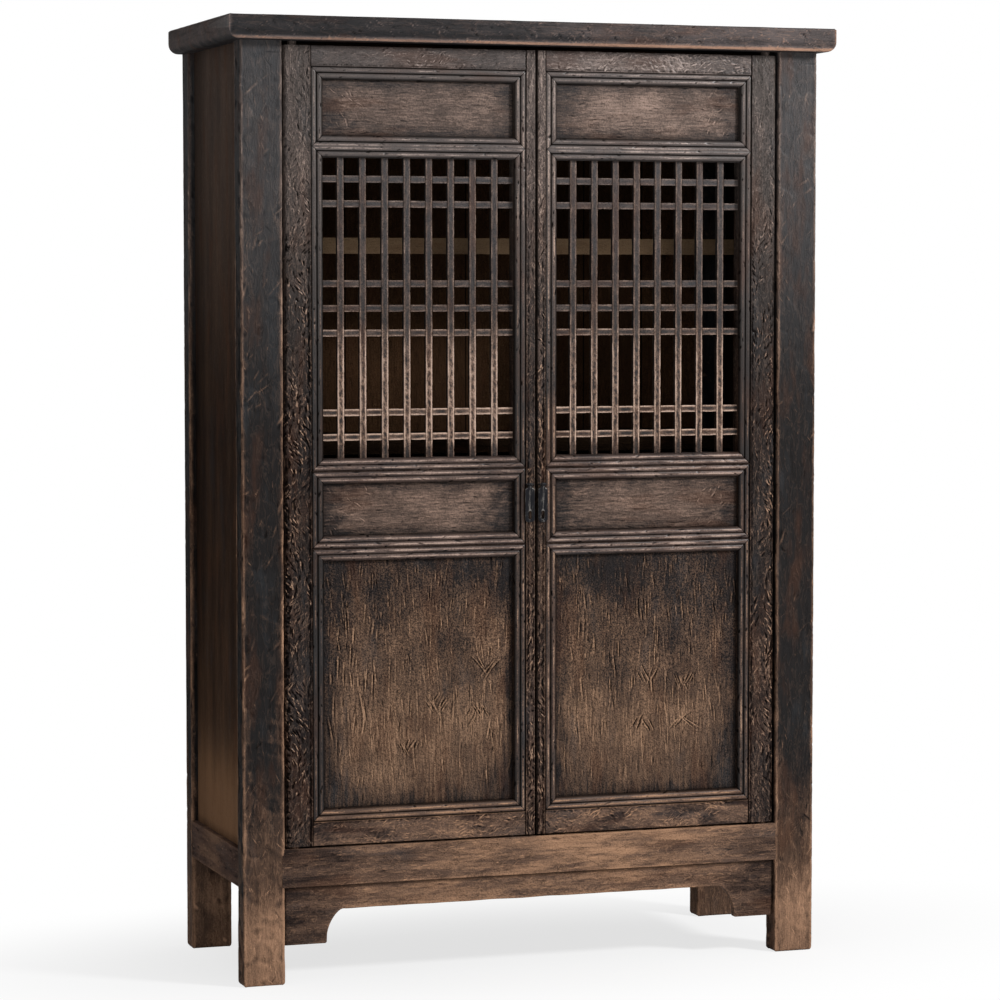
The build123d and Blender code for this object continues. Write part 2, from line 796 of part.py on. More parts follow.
door_pieces = {name: door_rail(*span) for name, span in door_rails.items()}
door_pieces["hinge_stile"] = hinge_stile()
door_pieces["meeting_stile"] = meeting_stile()
door_pieces["skirt_panel"] = door_panel(skirt_low, skirt_high)
door_pieces["waist_panel"] = door_panel(waist_low, waist_high)
door_pieces["frieze_panel"] = door_panel(frieze_low, frieze_high)
door_pieces["lattice_uprights"] = lattice_uprights()
door_pieces["lattice_crossbars"] = lattice_crossbars()
door_pieces["pull_staple"] = pull_staple()
door_pieces["pull_plate"] = pull_plate()
for name, piece in door_pieces.items():
    save_pair(piece, f"left_door_{name}", f"right_door_{name}")
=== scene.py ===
# %% [markdown]
# # A northern book cabinet in weathered wood
# The cabinet is 1.9 m tall: four square posts, a plank top, two doors with a square
# lattice window each, and a shaped apron under the bottom rail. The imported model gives
# every piece's place. This lesson gives each visible piece its worked surface and its
# finish: timber stained nearly black, carved and dented by hand, and rubbed back to
# brown and tan where hands, knees and brooms would have touched it.
#
# A worked surface could be painted on with bump alone, but then its outline and its
# shadows stay those of a plain block. Here the larger marks are real shape, worked out
# with numpy on grids, and only the fibre of the wood is left to the shader.

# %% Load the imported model
import json
import math

import bpy
import numpy as np
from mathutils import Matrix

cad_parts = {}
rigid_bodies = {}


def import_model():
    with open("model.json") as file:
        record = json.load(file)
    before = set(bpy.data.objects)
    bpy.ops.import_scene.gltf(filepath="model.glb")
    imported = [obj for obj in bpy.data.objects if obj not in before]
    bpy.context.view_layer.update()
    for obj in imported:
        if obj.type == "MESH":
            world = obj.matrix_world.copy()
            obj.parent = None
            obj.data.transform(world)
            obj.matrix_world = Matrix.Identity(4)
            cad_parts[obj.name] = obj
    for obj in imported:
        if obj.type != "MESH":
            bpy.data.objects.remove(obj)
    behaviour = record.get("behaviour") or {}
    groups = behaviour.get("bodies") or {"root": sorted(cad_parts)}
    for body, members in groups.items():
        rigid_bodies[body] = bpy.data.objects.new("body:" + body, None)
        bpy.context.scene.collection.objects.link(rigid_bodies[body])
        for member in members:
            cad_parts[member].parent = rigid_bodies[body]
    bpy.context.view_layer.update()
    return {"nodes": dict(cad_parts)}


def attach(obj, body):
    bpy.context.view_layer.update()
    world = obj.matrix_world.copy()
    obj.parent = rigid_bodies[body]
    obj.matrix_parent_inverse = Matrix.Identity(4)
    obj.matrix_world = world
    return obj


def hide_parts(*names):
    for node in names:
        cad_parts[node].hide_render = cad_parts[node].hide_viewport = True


for leftover in list(bpy.data.objects):
    bpy.data.objects.remove(leftover)
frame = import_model()

# %% [markdown]
# ## Camera
# The view is that of a person standing a few steps back, a little left of the middle,
# with a long lens, so that the upright lines stay nearly parallel.

# %% Camera
camera = bpy.data.objects.new("camera", bpy.data.cameras.new("camera"))
camera.data.lens, camera.data.sensor_width = 124.14, 36.0
camera.location = (-2.300, -6.722, 1.380)
camera.rotation_euler = (math.pi / 2 - 0.0625, 0.0, -0.3294)
bpy.context.scene.collection.objects.link(camera)
bpy.context.scene.camera = camera
bpy.context.scene.view_settings.view_transform = "Standard"
print("camera lens", camera.data.lens, "mm")

# %% [markdown]
# ## Shader maths as plain expressions
# A finish is a sum of patterns: fibre, streaks, blotches and the rubbed places. Written
# as nodes and links one by one that is hard to read, so `Signal` wraps one socket and
# lets it be added or multiplied like a number, and `Finish` holds one material and adds
# every other node through a single method.

# %% Signals and finishes
class Signal:
    """One node socket that takes part in sums: each operator adds one Math node."""

    def __init__(self, finish, socket):
        self.finish, self.socket = finish, socket

    def __add__(self, other):
        return self.finish.worked("ADD", self, other)

    def __sub__(self, other):
        return self.finish.worked("SUBTRACT", self, other)

    def __rsub__(self, other):
        return self.finish.worked("SUBTRACT", other, self)

    def __mul__(self, other):
        return self.finish.worked("MULTIPLY", self, other)

    def __abs__(self):
        return self.finish.worked("ABSOLUTE", self, 0.0)

    __radd__, __rmul__ = __add__, __mul__


def linear(code):
    """An sRGB hex colour as linear light: each share s becomes ((s + 0.055) / 1.055) ** 2.4."""
    shares = np.array([int(code[i:i + 2], 16) / 255 for i in (1, 3, 5)])
    light = np.where(shares <= 0.04045, shares / 12.92, ((shares + 0.055) / 1.055) ** 2.4)
    return (*light.tolist(), 1.0)


class Finish:
    """A material, and the one way nodes are added to it."""

    def __init__(self, name, tree=None):
        if tree is None:
            self.material = bpy.data.materials.new(name)
            self.material.use_nodes = True
            tree = self.material.node_tree
        self.tree = tree
        self.tree.nodes.clear()

    def node(self, kind, settings=None, sockets=None, out=0):
        """Add a node: its settings first, then values or links for its sockets."""
        made = self.tree.nodes.new(kind)
        for name, value in (settings or {}).items():
            setattr(made, name, value)
        for name, value in (sockets or {}).items():
            if isinstance(value, Signal):
                self.tree.links.new(value.socket, made.inputs[name])
            else:
                made.inputs[name].default_value = value
        return Signal(self, made.outputs[out]) if made.outputs else made

    def worked(self, operation, first, second=0.5):
        """One Math node; some operations look at the first number alone."""
        return self.node("ShaderNodeMath", {"operation": operation}, {0: first, 1: second})

    def place(self, stretch=(1.0, 1.0, 1.0)):
        """Where on the piece, in metres, stretched along the three axes."""
        where = self.node("ShaderNodeTexCoord", out="Object")
        return self.node("ShaderNodeVectorMath", {"operation": "MULTIPLY"}, {0: where, 1: stretch})

    def cloud(self, where, scale, detail=4.0, roughness=0.55, distortion=0.0):
        """Noise between 0 and 1, with its middle near 0.5."""
        return self.node("ShaderNodeTexNoise", sockets={
            "Vector": where, "Scale": scale, "Detail": detail, "Roughness": roughness,
            "Distortion": distortion})

    def told(self, name):
        """A number that the mesh carries at its points."""
        return self.node("ShaderNodeAttribute", {"attribute_name": name}, out="Fac")

    def axis(self, where, k):
        """One of the three numbers of a place: 0, 1 and 2 are x, y and z."""
        return self.node("ShaderNodeSeparateXYZ", sockets={0: where}, out=k)

    def step(self, value, low, high, start=0.0, end=1.0):
        """A smooth rise from start to end as value goes from low to high."""
        return self.node("ShaderNodeMapRange", {"interpolation_type": "SMOOTHSTEP"},
                         {0: value, 1: low, 2: high, 3: start, 4: end})

    def blend(self, share, first, second):
        """A colour between two others: a Mix node's colours are its sockets 6 and 7."""
        return self.node("ShaderNodeMix", {"data_type": "RGBA"},
                         {0: share, 6: first, 7: second}, out=2)

    def finish(self, colour, roughness, height, depth, strength, ior, metal=0.0, polish=0.0):
        """Close the material with one Principled surface; depth is the bump's, in metres."""
        bump = self.node("ShaderNodeBump", sockets={
            "Height": height, "Strength": strength, "Distance": depth})
        surface = self.node("ShaderNodeBsdfPrincipled", sockets={
            "Base Color": colour, "Roughness": roughness, "Metallic": metal, "IOR": ior,
            "Coat Weight": polish, "Coat Roughness": 0.34, "Normal": bump})
        self.node("ShaderNodeOutputMaterial", sockets={"Surface": surface})
        return self.material


print("finish kit ready")

# %% [markdown]
# ## The wood finish
# Old northern cabinets were stained nearly black. The stain fades to grey towards the
# top, where it is also painted lighter as painted light from above, and wears through to
# brown and at last to bare tan wood. The mesh says how far each point is rubbed through,
# with painted highlights and painted light added in places (`wear_and_painted_light`), how
# far it lies in a recess that cloth and hands can't reach, with painted shade added in
# recesses and on faces turned from the lamps (`grime_and_painted_shade`), and how smoothly
# it is polished (`shine`). The shader adds what is too fine for the mesh: fibre along the
# grain, thin winding crests where tools and age gnarled the surface, and small pits.

# %% Wood finish
AGED_AND_LIT_BROWN, AGED_AND_LIT_BARE = linear("#5f5957"), linear("#9b8e88")  # greyed by light and dust, and lighter as painted light from above
# The near black below is both grime and painted shade.
RED_CLOUD, BLUE_CLOUD, GRIME_AND_SHADE = linear("#553727"), linear("#3c4044"), linear("#0b0908")


def old_wood(name, grain, colours, bite=0.5, gnarl=0.5, pebble=0.3, polish=0.3, greyed=0.9,
             ior=1.05, boards=None, combed=None):
    """Stained wood rubbed through to brown and tan; the grain runs along one axis.

    The four colours are the stain, the brown, the tan, and the stain as it greys by light
    up high, which is lighter there as painted light too. rubbed = wear_and_painted_light +
    shares of fibre, blotch and pebble, then two wide smooth steps pick the brown and the
    tan. A crest lies where the winding pattern is near its middle, 0.5: there the wood is
    lighter and higher. A crack lies where a second one is near 0.44. High up the colours
    turn grey and lighter: greyed by light and dust, and painted light from above. Slow
    clouds push the stain to red or to blue.
    With a board width in metres, each board has its own tone and a dark line where it
    meets the next: the width times a whole number is a joint. With a pair of heights,
    the wood is pebbled above them and combed along the grain below.
    """
    def squeezed(share):
        return wood.place(tuple(share if axis == grain else 1.0 for axis in "xyz"))

    wood = Finish(name)
    stain, brown, tan, faded_and_lit = (linear(code) for code in colours.split())
    plain, along, short = wood.place(), squeezed(0.05), squeezed(0.26)
    fibre = wood.cloud(along, 330.0, 4.0, 0.65, 0.3)
    twist = wood.cloud(short, 88.0, 3.0, 0.5, 0.9)
    split = wood.cloud(short, 60.0, 4.0, 0.6, 0.5)
    blotch = wood.cloud(plain, 9.0, 4.0, 0.55)
    pebbles = wood.cloud(plain, 330.0, 2.0, 0.5)
    hue = wood.cloud(short, 22.0, 3.0, 0.6)
    height = wood.axis(plain, 2)
    wear_and_painted_light, grime_and_painted_shade, shine = (wood.told(label) for label in ("wear_and_painted_light", "grime_and_painted_shade", "shine"))

    rough = wood.step(shine, 0.6, 0.95, gnarl, 0.1 * gnarl)
    crest = wood.step(abs(twist - 0.5), 0.0, 0.035, 1.0, 0.0) * rough
    crack = wood.step(abs(split - 0.44), 0.0, 0.022, 1.0, 0.0) * rough
    grit, lines = (pebbles - 0.5) * (1.6 * pebble), (fibre - 0.5) * bite
    if combed:
        high = wood.step(height, *combed)
        grit, lines = grit * (high * 0.7 + 0.3), lines * (2.6 - high * 1.6)
    rubbed = wear_and_painted_light + lines + (blotch - 0.5) * (0.9 * bite) + grit
    if boards:
        across = wood.axis(plain, 0)
        number = wood.worked("FLOOR", across * (1 / boards))
        rubbed = rubbed + wood.worked("SINE", number * 2.3 + 0.8) * 0.12
        joint = wood.worked("PINGPONG", across, boards / 2)
        grime_and_painted_shade = grime_and_painted_shade + wood.step(joint, 0.0008, 0.0022, 0.85, 0.0)

    browned, bared = wood.step(rubbed, -0.05, 0.70), wood.step(rubbed, 0.50, 1.25)
    # Up high the stain greys with light and dust, and is painted lighter there as painted light
    # from above.
    fade_and_top_light = wood.step(height, 1.0, 1.8)
    colour = wood.blend(browned, wood.blend(fade_and_top_light, stain, faded_and_lit),
                        wood.blend(fade_and_top_light * (0.7 * greyed), brown, AGED_AND_LIT_BROWN))
    bare_wood = wood.blend(fade_and_top_light * (0.85 * greyed), tan, AGED_AND_LIT_BARE)
    colour = wood.blend(wood.step(hue, 0.50, 0.70, 0.0, 0.30), colour, RED_CLOUD)
    colour = wood.blend(wood.step(hue, 0.46, 0.28, 0.0, 0.28 * greyed), colour, BLUE_CLOUD)
    colour = wood.blend(bared, colour, bare_wood)
    colour = wood.blend(crest * (browned * 0.55 + 0.10), colour, bare_wood)
    pits = wood.step(pebbles, 0.46, 0.34, 0.0, 0.5 * pebble)
    shade = wood.step(grime_and_painted_shade, 0.0, 1.0, 0.0, 0.94)
    colour = wood.blend(wood.worked("MAXIMUM", shade, crack * 0.6 + pits), colour, GRIME_AND_SHADE)

    roughness = wood.step(blotch, 0.3, 0.7, 0.48, 0.62)
    raised = wood.step(abs(twist - 0.5), 0.0, 0.10, 1.0, 0.0) * rough
    relief = raised * 0.9 - crack * 0.6 + fibre * 0.7 + pebbles * (2.2 * pebble)
    coat = wood.step(shine + crest * 0.3 - grime_and_painted_shade, 0.0, 1.0, 0.0, polish)
    return wood.finish(colour, roughness, relief, 0.0016, 1.0, ior, polish=coat)


BOARD = 0.133125  # width of one back board
# The second set of colours is for timber deep inside: much darker than the same wood on the upper
# shelf, as painted shade.
BARS, SHADED_INSIDE = "#2b2929 #69554a #bfa391 #474546", "#241a12 #3e2c1e #54402e #241a12"
woods = {name: old_wood(name, grain, colours, **rest) for name, grain, colours, rest in (
    ("frame_wood_upright", "z", "#1f1a19 #59453a #ad8c74 #48423f",
     dict(gnarl=0.8, pebble=0.5, polish=0.5)),
    ("frame_wood_level", "x", "#262020 #5d4b43 #ac9487 #4f4947",
     dict(bite=0.8, pebble=0.35, polish=0.5)),
    ("base_wood_level", "x", "#2c2422 #644f43 #aa8468 #3d3938", dict(bite=0.55)),
    ("base_wood_deep", "y", "#231b18 #55423a #7d6250 #3d3938",
     dict(gnarl=0.3, pebble=0.2, ior=1.02)),
    ("post_wood", "z", "#1f1d1d #5a463a #a88369 #424142",
     dict(bite=0.45, gnarl=0.4, pebble=0.2, ior=1.04)),
    ("plank_wood", "x", "#272120 #5d5351 #9a7259 #2b2a2b",
     dict(bite=0.4, gnarl=0.4, pebble=0.15, greyed=0.25)),
    ("side_wood_upright", "z", "#1b1412 #4f3b2d #7c5d45 #322d2b",
     dict(bite=0.35, gnarl=0.2, pebble=0.1, greyed=0.5, ior=1.015)),
    ("panel_wood_upright", "z", "#272424 #5e4a3d #a48268 #3d3938",
     dict(bite=0.4, gnarl=0.3, pebble=0.85, combed=(0.46, 0.66))),
    ("panel_wood_level", "x", "#292626 #5b4c44 #9c8172 #383535",
     dict(bite=0.7, gnarl=0.35, pebble=0.35, greyed=0.35)),
    ("lattice_wood_upright", "z", BARS, dict(bite=0.3, gnarl=0.3, pebble=0.4, greyed=0.6)),
    ("lattice_wood_level", "x", BARS, dict(bite=0.3, gnarl=0.3, pebble=0.4)),
    ("inner_wood_upright", "z", "#453122 #6e5038 #8a6a4c #453122",
     dict(greyed=0.0, boards=BOARD)),
    ("shaded_inner_wood_level", "x", SHADED_INSIDE, dict(greyed=0.0)),
    ("shaded_inner_wood_deep", "y", SHADED_INSIDE, dict(greyed=0.0)),
    ("shelf_wood", "x", "#715c47 #8a725a #a98f73 #715c47", dict(gnarl=0.2, greyed=0.0)))}
print("wood finishes:", len(woods))

# %% [markdown]
# ## Patterns for worked timber
# Two patterns make almost every mark on the cabinet. `rumple` is smooth random
# unevenness, for waves, warps and cloudy wear. `strokes` are single cuts and dents, each
# with its own place, and `ridges` turns them into raised lines. They are put down by
# seeded draws, because marks set out by a formula would soon show their order.

# %% Smooth patterns
def eased(value, low, high):
    """0 below low, 1 above high, and 3t^2 - 2t^3 in between."""
    t = np.clip((value - low) / (high - low), 0.0, 1.0)
    return t * t * (3.0 - 2.0 * t)


def near(gap, width):
    """1 where the gap is 0, falling off on both sides: exp(-(gap / width)^2)."""
    return np.exp(-(gap / width) ** 2)


def rumple(u, v, seed):
    """Gradient noise: every whole-number corner has a random slope, blended smoothly.

    The value at a point is the four corners' slopes times the way to them, mixed by
    6t^5 - 15t^4 + 10t^3; it runs from about -1 to 1.
    """
    angles = np.random.default_rng(seed).random((256, 256)) * 2.0 * np.pi
    iu, iv = np.floor(u).astype(int), np.floor(v).astype(int)
    fu, fv = u - iu, v - iv

    def corner(du, dv):
        turn = angles[(iu + du) % 256, (iv + dv) % 256]
        return np.cos(turn) * (fu - du) + np.sin(turn) * (fv - dv)

    su, sv = (t * t * t * (t * (t * 6.0 - 15.0) + 10.0) for t in (fu, fv))
    low = corner(0, 0) * (1 - su) + corner(1, 0) * su
    high = corner(0, 1) * (1 - su) + corner(1, 1) * su
    return 1.5 * (low * (1 - sv) + high * sv)


def rumples(u, v, seed, layers, gain=0.55):
    """Sum of rumple at doubling scales, each layer gain times the last."""
    return sum(gain ** k * rumple(u * 2 ** k, v * 2 ** k, seed + 31 * k) for k in range(layers))


grid_u, grid_v = np.meshgrid(np.arange(0, 40, 0.2), np.arange(0, 40, 0.2))
sample = rumple(grid_u, grid_v, 1)
print("rumple runs from", sample.min().round(2), "to", sample.max().round(2))

# %% Cuts, dents and raised lines
def scattered(count, seed, u, v, length, width, turn, depth):
    """Random marks: each number is drawn evenly from its own (low, high) pair."""
    draw = np.random.default_rng(seed).random((count, 6))
    lows, highs = np.array([u, v, length, width, turn, depth], float).T
    return lows + draw * (highs - lows)


def strokes(u, v, marks):
    """Deepest of many dents; each is (u, v, half length, half width, turn, depth).

    A dent is depth times (1 - a^2)(1 - b^2), where a and b run from -1 to 1 along and
    across it. Turn is in degrees from the v direction. v is the same all along a row.
    """
    deep = np.zeros(u.shape)
    rows = v[:, 0]
    for mu, mv, length, width, turn, depth in marks:
        far = length + width
        part = slice(*np.searchsorted(rows, (mv - far, mv + far)))
        du, dv = u[part] - mu, v[part] - mv
        c, s = math.cos(math.radians(turn)), math.sin(math.radians(turn))
        a, b = (dv * c + du * s) / length, (du * c - dv * s) / width
        dent = depth * np.clip(1 - a * a, 0, 1) * np.clip(1 - b * b, 0, 1)
        deep[part] = np.maximum(deep[part], dent)
    return deep


def ridges(u, v, marks):
    """Raised lines with a groove on each side: the stroke's middle less its surroundings."""
    wide = np.array(marks)
    wide[:, 3] *= 2.2
    return 1.5 * strokes(u, v, marks) - 0.5 * strokes(u, v, wide)


def smoothed(field, reach):
    """Average over a square of 2 reach + 1 points a side, from running sums."""
    side = 2 * reach + 1
    for axis in (0, 1):
        pads = [(0, 0), (0, 0)]
        pads[axis] = (reach + 1, reach)
        total = np.cumsum(np.pad(field, pads, "edge"), axis=axis)
        count = field.shape[axis]
        last = np.take(total, np.arange(side, side + count), axis)
        field = (last - np.take(total, np.arange(count), axis)) / side
    return field


def proud(deep, reach, limit):
    """How far each point stands above the average round it, in mm; cuts are below 0."""
    return np.clip(smoothed(deep, reach) - deep, -limit, limit)


dent = strokes(grid_u, grid_v, [(20, 20, 6, 2, 30, 1.5)])
print("one dent is", dent.max().round(2), "mm deep in its middle")

# %% [markdown]
# ## From grids to meshes
# A grid point here is a row of six numbers: x, y, z in millimetres, then
# `wear_and_painted_light`, `grime_and_painted_shade` and `shine`. A shell is closed in one
# of two ways. `carried` joins closed sections one after another and caps both ends.
# `backed` takes a front sheet, runs rings back from its edge and closes the back with one
# face. Points that fall together are joined, so mitred ends may be drawn by letting a
# grid's lines run into each other.

# %% Grids
def points_of(x, y, z, wear_and_painted_light, grime_and_painted_shade=0.0, shine=0.0):
    """Six numbers for every point of a grid."""
    return np.stack(np.broadcast_arrays(x, y, z, wear_and_painted_light, grime_and_painted_shade, shine), -1).astype(float)


def spread(*stops):
    """Evenly spaced values through (value, step, value, step, ..., value) stops."""
    runs = [np.linspace(a, b, max(1, round(abs(b - a) / step)), endpoint=False)
            for a, step, b in zip(stops[0:-2:2], stops[1:-1:2], stops[2::2])]
    return np.concatenate(runs + [np.array([stops[-1]], float)])


def way_along(points):
    """Length in mm from a line's first point to each of its points."""
    return np.concatenate([[0], np.cumsum(np.hypot(*np.diff(points, axis=0).T))])


def quarter(count, start=0):
    """Angles of a quarter turn; start leaves out the first, where a straight line ends."""
    return np.linspace(0, math.pi / 2, count)[start:]


print("a grid line with two spacings:", spread(0, 2, 4, 1, 6))

# %% Shells
def carried(sections, caps=True):
    """Closed sections (stations, points, 6), joined in order, with a face at each end."""
    stations, around = sections.shape[:2]
    index = np.arange(stations * around).reshape(stations, around)
    following = np.roll(index, -1, axis=1)
    quads = np.stack([index[:-1], index[1:], following[1:], following[:-1]], -1).reshape(-1, 4)
    ends = [index[0].tolist(), index[-1, ::-1].tolist()] if caps else []
    return sections.reshape(-1, 6), quads, ends


def joined(points, quads, ends):
    """Points that fall together become one, and faces that lose their area go."""
    _, first, place = np.unique(np.round(points[:, :3], 3), axis=0, return_index=True,
                                return_inverse=True)
    place = place.reshape(-1)
    quads = place[quads]
    same = quads == np.roll(quads, -1, axis=1)
    whole = quads[~same.any(1)]
    once = same.sum(1) == 1
    turn = (np.argmax(same[once], axis=1)[:, None] + np.arange(1, 4)) % 4
    threes = np.take_along_axis(quads[once], turn, 1)
    closed = []
    for end in ends:
        corners = place[end]
        corners = corners[corners != np.roll(corners, -1)]
        if len(np.unique(corners)) > 2:
            closed.append(corners.tolist())
    return points[first], whole, threes, closed


def outward(points, quads, threes, ends):
    """True where the faces already point outwards, from the sign of the shell's volume."""
    p = points[:, :3] - points[:, :3].mean(0)
    fans = [np.array([[end[0], *pair] for pair in zip(end[1:-1], end[2:])]) for end in ends]
    corners = np.concatenate([quads[:, [0, 1, 2]], quads[:, [0, 2, 3]], threes, *fans])
    a, b, c = (p[corners[:, i]] for i in range(3))
    return np.einsum("ij,ij->i", a, np.cross(b, c)).sum() > 0


MM = 0.001  # in metres
made = {}  # triangles by piece


def piece(node, shells, finish, body, slot="frame_wood", sharp=42.0):
    """One object from closed shells, in metres, riding on its body in its node's place."""
    name = node + ("_iron" if slot == "iron" else "_wood")
    points, faces, total = [], [], 0
    for shell in shells:
        spots, quads, threes, ends = joined(*shell)
        step = 1 if outward(spots, quads, threes, ends) else -1
        faces += [(np.array(f)[::step] + total).tolist() for f in ends]
        faces += (threes[:, ::step] + total).tolist() + (quads[:, ::step] + total).tolist()
        points.append(spots)
        total += len(spots)
    points = np.concatenate(points)
    mesh = bpy.data.meshes.new(name)
    mesh.from_pydata(points[:, :3] * MM, [], faces)
    for column, label in ((3, "wear_and_painted_light"), (4, "grime_and_painted_shade"), (5, "shine")):
        layer = mesh.attributes.new(label, "FLOAT", "POINT")
        layer.data.foreach_set("value", np.clip(points[:, column], -1, 2).astype(np.float32))
    mesh.materials.append(finish)
    mesh.shade_smooth()
    mesh.set_sharp_from_angle(angle=math.radians(sharp))
    obj = bpy.data.objects.new(name, mesh)
    bpy.context.scene.collection.objects.link(obj)
    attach(obj, body)
    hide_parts(node)
    made[name] = sum(len(f) - 2 for f in faces)
    print(f"{name}: {len(points)} points, {made[name]} triangles")


print("mesh kit ready")

# %% [markdown]
# ## Posts
# A post is a square timber with softened corners. Its section could be extruded and
# then sculpted, but carrying one outline up the post lets every ring be dented inwards
# along its own normals, so the marks run on round the corners as they do on real wood.

# %% Posts
SIDES = {"left": -1, "right": 1}
HALF_WIDTH, INNER_X, POST_TOP = 609.0, 523.0, 1852.0
FRONT_POST, BACK_POST = (-219.0, -171.0), (203.0, 251.0)  # their front and back faces
POST_ROUND, FOOT_ROUND = 4.0, 6.0  # its corners, and the edge round its foot
SCRIBED = 1829.0  # the line scribed under the plank


def outline(x0, x1, y0, y1, radius, steps):
    """Rounded rectangle from its sides' steps, in the order front, right, back, left.

    Returns points, outward normals, the way round in mm, and the gap to the nearest
    corner, which is 0 on the rounding itself.
    """
    centres = ((x1 - radius, y0 + radius), (x1 - radius, y1 - radius),
               (x0 + radius, y1 - radius), (x0 + radius, y0 + radius))
    spots, normals, gaps = [], [], []
    for k, step in enumerate(steps):
        start, end = np.array(centres[k - 1]), np.array(centres[k])
        facing = math.radians(-90 + 90 * k)
        normal = np.array([math.cos(facing), math.sin(facing)])
        length = np.abs(end - start).sum()
        share = np.linspace(0, 1, max(2, round(length / step)), endpoint=False)
        turn = facing + np.linspace(0, math.pi / 2, 4, endpoint=False)
        round_normals = np.stack([np.cos(turn), np.sin(turn)], -1)
        spots += [start + share[:, None] * (end - start) + radius * normal,
                  end + radius * round_normals]
        normals += [np.tile(normal, (len(share), 1)), round_normals]
        gaps += [np.minimum(share, 1 - share) * length, np.zeros(4)]
    spots = np.concatenate(spots)
    return spots, np.concatenate(normals), way_along(spots), np.concatenate(gaps)


def timber_marks(u, v, seed, dents, lean, folded=0.0):
    """Depth in mm on a dressed but old timber: u across and v along the grain, in mm.

    Fine grooves and slow waves lie under everything, and on the posts soft slanting
    folds and creases. Then come small dents and three times as many thin scratches with
    a raised lip; both turn up to `lean` degrees from the grain. Also gives the lips alone.
    """
    sway = 14 * rumple(u / 70, v / 260, seed)
    deep = 0.3 * (1 - np.abs(rumples((u + sway) / 8, v / 200, seed + 1, 3)))
    deep = deep + 0.5 * (1 + rumples(u / 42, v / 110, seed + 2, 2)) + 0.5
    deep = deep + folded * eased(rumples((u + 0.5 * v) / 50, (v - 0.4 * u) / 60, seed + 8, 2),
                                 -0.1, 0.45)
    everywhere = (u.min(), u.max()), (v.min(), v.max())
    leans = (-lean, lean)
    deep = deep + strokes(u, v, scattered(dents, seed + 3, *everywhere, (4, 18), (1.4, 3.2),
                                          leans, (0.3, 1.0)))
    raised = ridges(u, v, scattered(3 * dents, seed + 4, *everywhere, (3, 13), (1.1, 1.7),
                                    leans, (0.3, 0.8)))
    creases = ridges(u, v, scattered(int(60 * folded), seed + 12, everywhere[0], (560, 1840),
                                     (7, 24), (2.2, 3.8), (12, 62), (0.6, 1.2)))
    return deep - raised - creases, np.maximum(raised, 0.4 * creases)


def post(x0, x1, y0, y1, seed, steps, along):
    """Post carried up from the floor; lighter at the foot and rubbed along its corners."""
    right, behind = x0 > 0, y0 > 0
    spots, normals, way, gap = outline(x0, x1, y0, y1, POST_ROUND, steps)
    z = np.concatenate([[0, 0.6, 1.4, 2.6, 4.2, 6.4], spread(8.5, along, POST_TOP)])
    u, v = np.broadcast_to(way, (len(z), len(way))), np.repeat(z[:, None], len(way), 1)
    deep, raised = timber_marks(u, v, seed, 110, 48, 0.3 if behind else 0.7 if right else 1.2)
    arris, band = near(gap, 2.6), near(gap, 10)
    deep = np.maximum(deep, 2.0 * near(v - SCRIBED, 1.6) * eased(u, 2, 30))
    chips = np.clip(rumples(u / 9, v / 14, seed + 9, 2) - 0.35, 0, 1)
    deep = deep * (1 - 0.5 * arris) + arris * (0.1 + 1.6 * chips)
    stands_out = proud(deep, 4, 0.9)
    ends = np.clip(np.minimum(v, POST_TOP - v) / 3, 0, 1)
    under = np.clip(FOOT_ROUND + 0.4 - v, 0, FOOT_ROUND)
    deep = deep * (0.35 + 0.65 * ends) + FOOT_ROUND - np.sqrt(FOOT_ROUND ** 2 - under ** 2)
    x, y = spots[:, 0] - normals[:, 0] * deep, spots[:, 1] - normals[:, 1] * deep

    front = eased(-normals[:, 1], 0.3, 0.9) * (not behind)
    foot = 0.65 * eased(490 - v, 0, 320) + 0.38 * eased(220 - v, 0, 120)
    calm = 1 - np.clip(foot, 0, 1)
    patches = eased(rumples(u / 28, v / 110, seed + 15, 2), 0.1, 0.6) * eased(900 - v, 0, 500)
    corners = (arris * (0.36 + 0.4 * rumple(u / 20, v / 60, seed + 6))
               + band * (0.30 + 0.3 * rumple(u / 40, v / 150, seed + 7)) * eased(1840 - v, 0, 500))
    # Up high the posts are lighter, the right ones more so: partly wear, partly painted light from
    # above and from the lamp on the right.
    wear_and_painted_light = (-0.12 - 0.10 * right + foot * (0.56 + 0.44 * front + 0.22 * behind)
            + 0.12 * rumples(u / 50, v / 260, seed + 5, 3)
            + (0.14 + 0.14 * right) * eased(v, 1250, 1650) + 0.16 * patches * calm
            + corners * (0.15 + 0.85 * calm) + 0.4 * stands_out + 0.65 * np.clip(raised, 0, 1))
    # Faces that don't face the front, and the back posts all round, get painted shade.
    grime_and_painted_shade = eased(-stands_out, 0.15, 0.8) * 0.45 + 0.3 * (1 - front) * (1 - arris) * calm
    return carried(points_of(x, y, v, wear_and_painted_light, grime_and_painted_shade, 0.45 * front * eased(v, 150, 400)))


# seed, grid steps in mm on the front, right, back and left faces, and the step upwards
POSTS = {"front_left": (11, (1.9, 8, 12, 4), 2.5), "front_right": (12, (1.9, 4, 12, 8), 2.5),
         "back_left": (13, (6, 6, 4, 4), 6.5), "back_right": (14, (6, 4, 4, 6), 6.5)}
for place, (seed, steps, along) in POSTS.items():
    width = (-HALF_WIDTH, -INNER_X) if "left" in place else (INNER_X, HALF_WIDTH)
    depth = FRONT_POST if "front" in place else BACK_POST
    piece(f"{place}_post", [post(*width, *depth, seed, steps, along)], woods["post_wood"],
          "carcase")

# %% [markdown]
# ## Plank top
# The top is one thick plank whose ends round under on their lower edge. Its section
# from front to back is carried along the plank, and near the ends the lower part of the
# section climbs along a quarter circle. Each end is closed by rings that shrink towards
# its middle, so the end grain can be dented too.

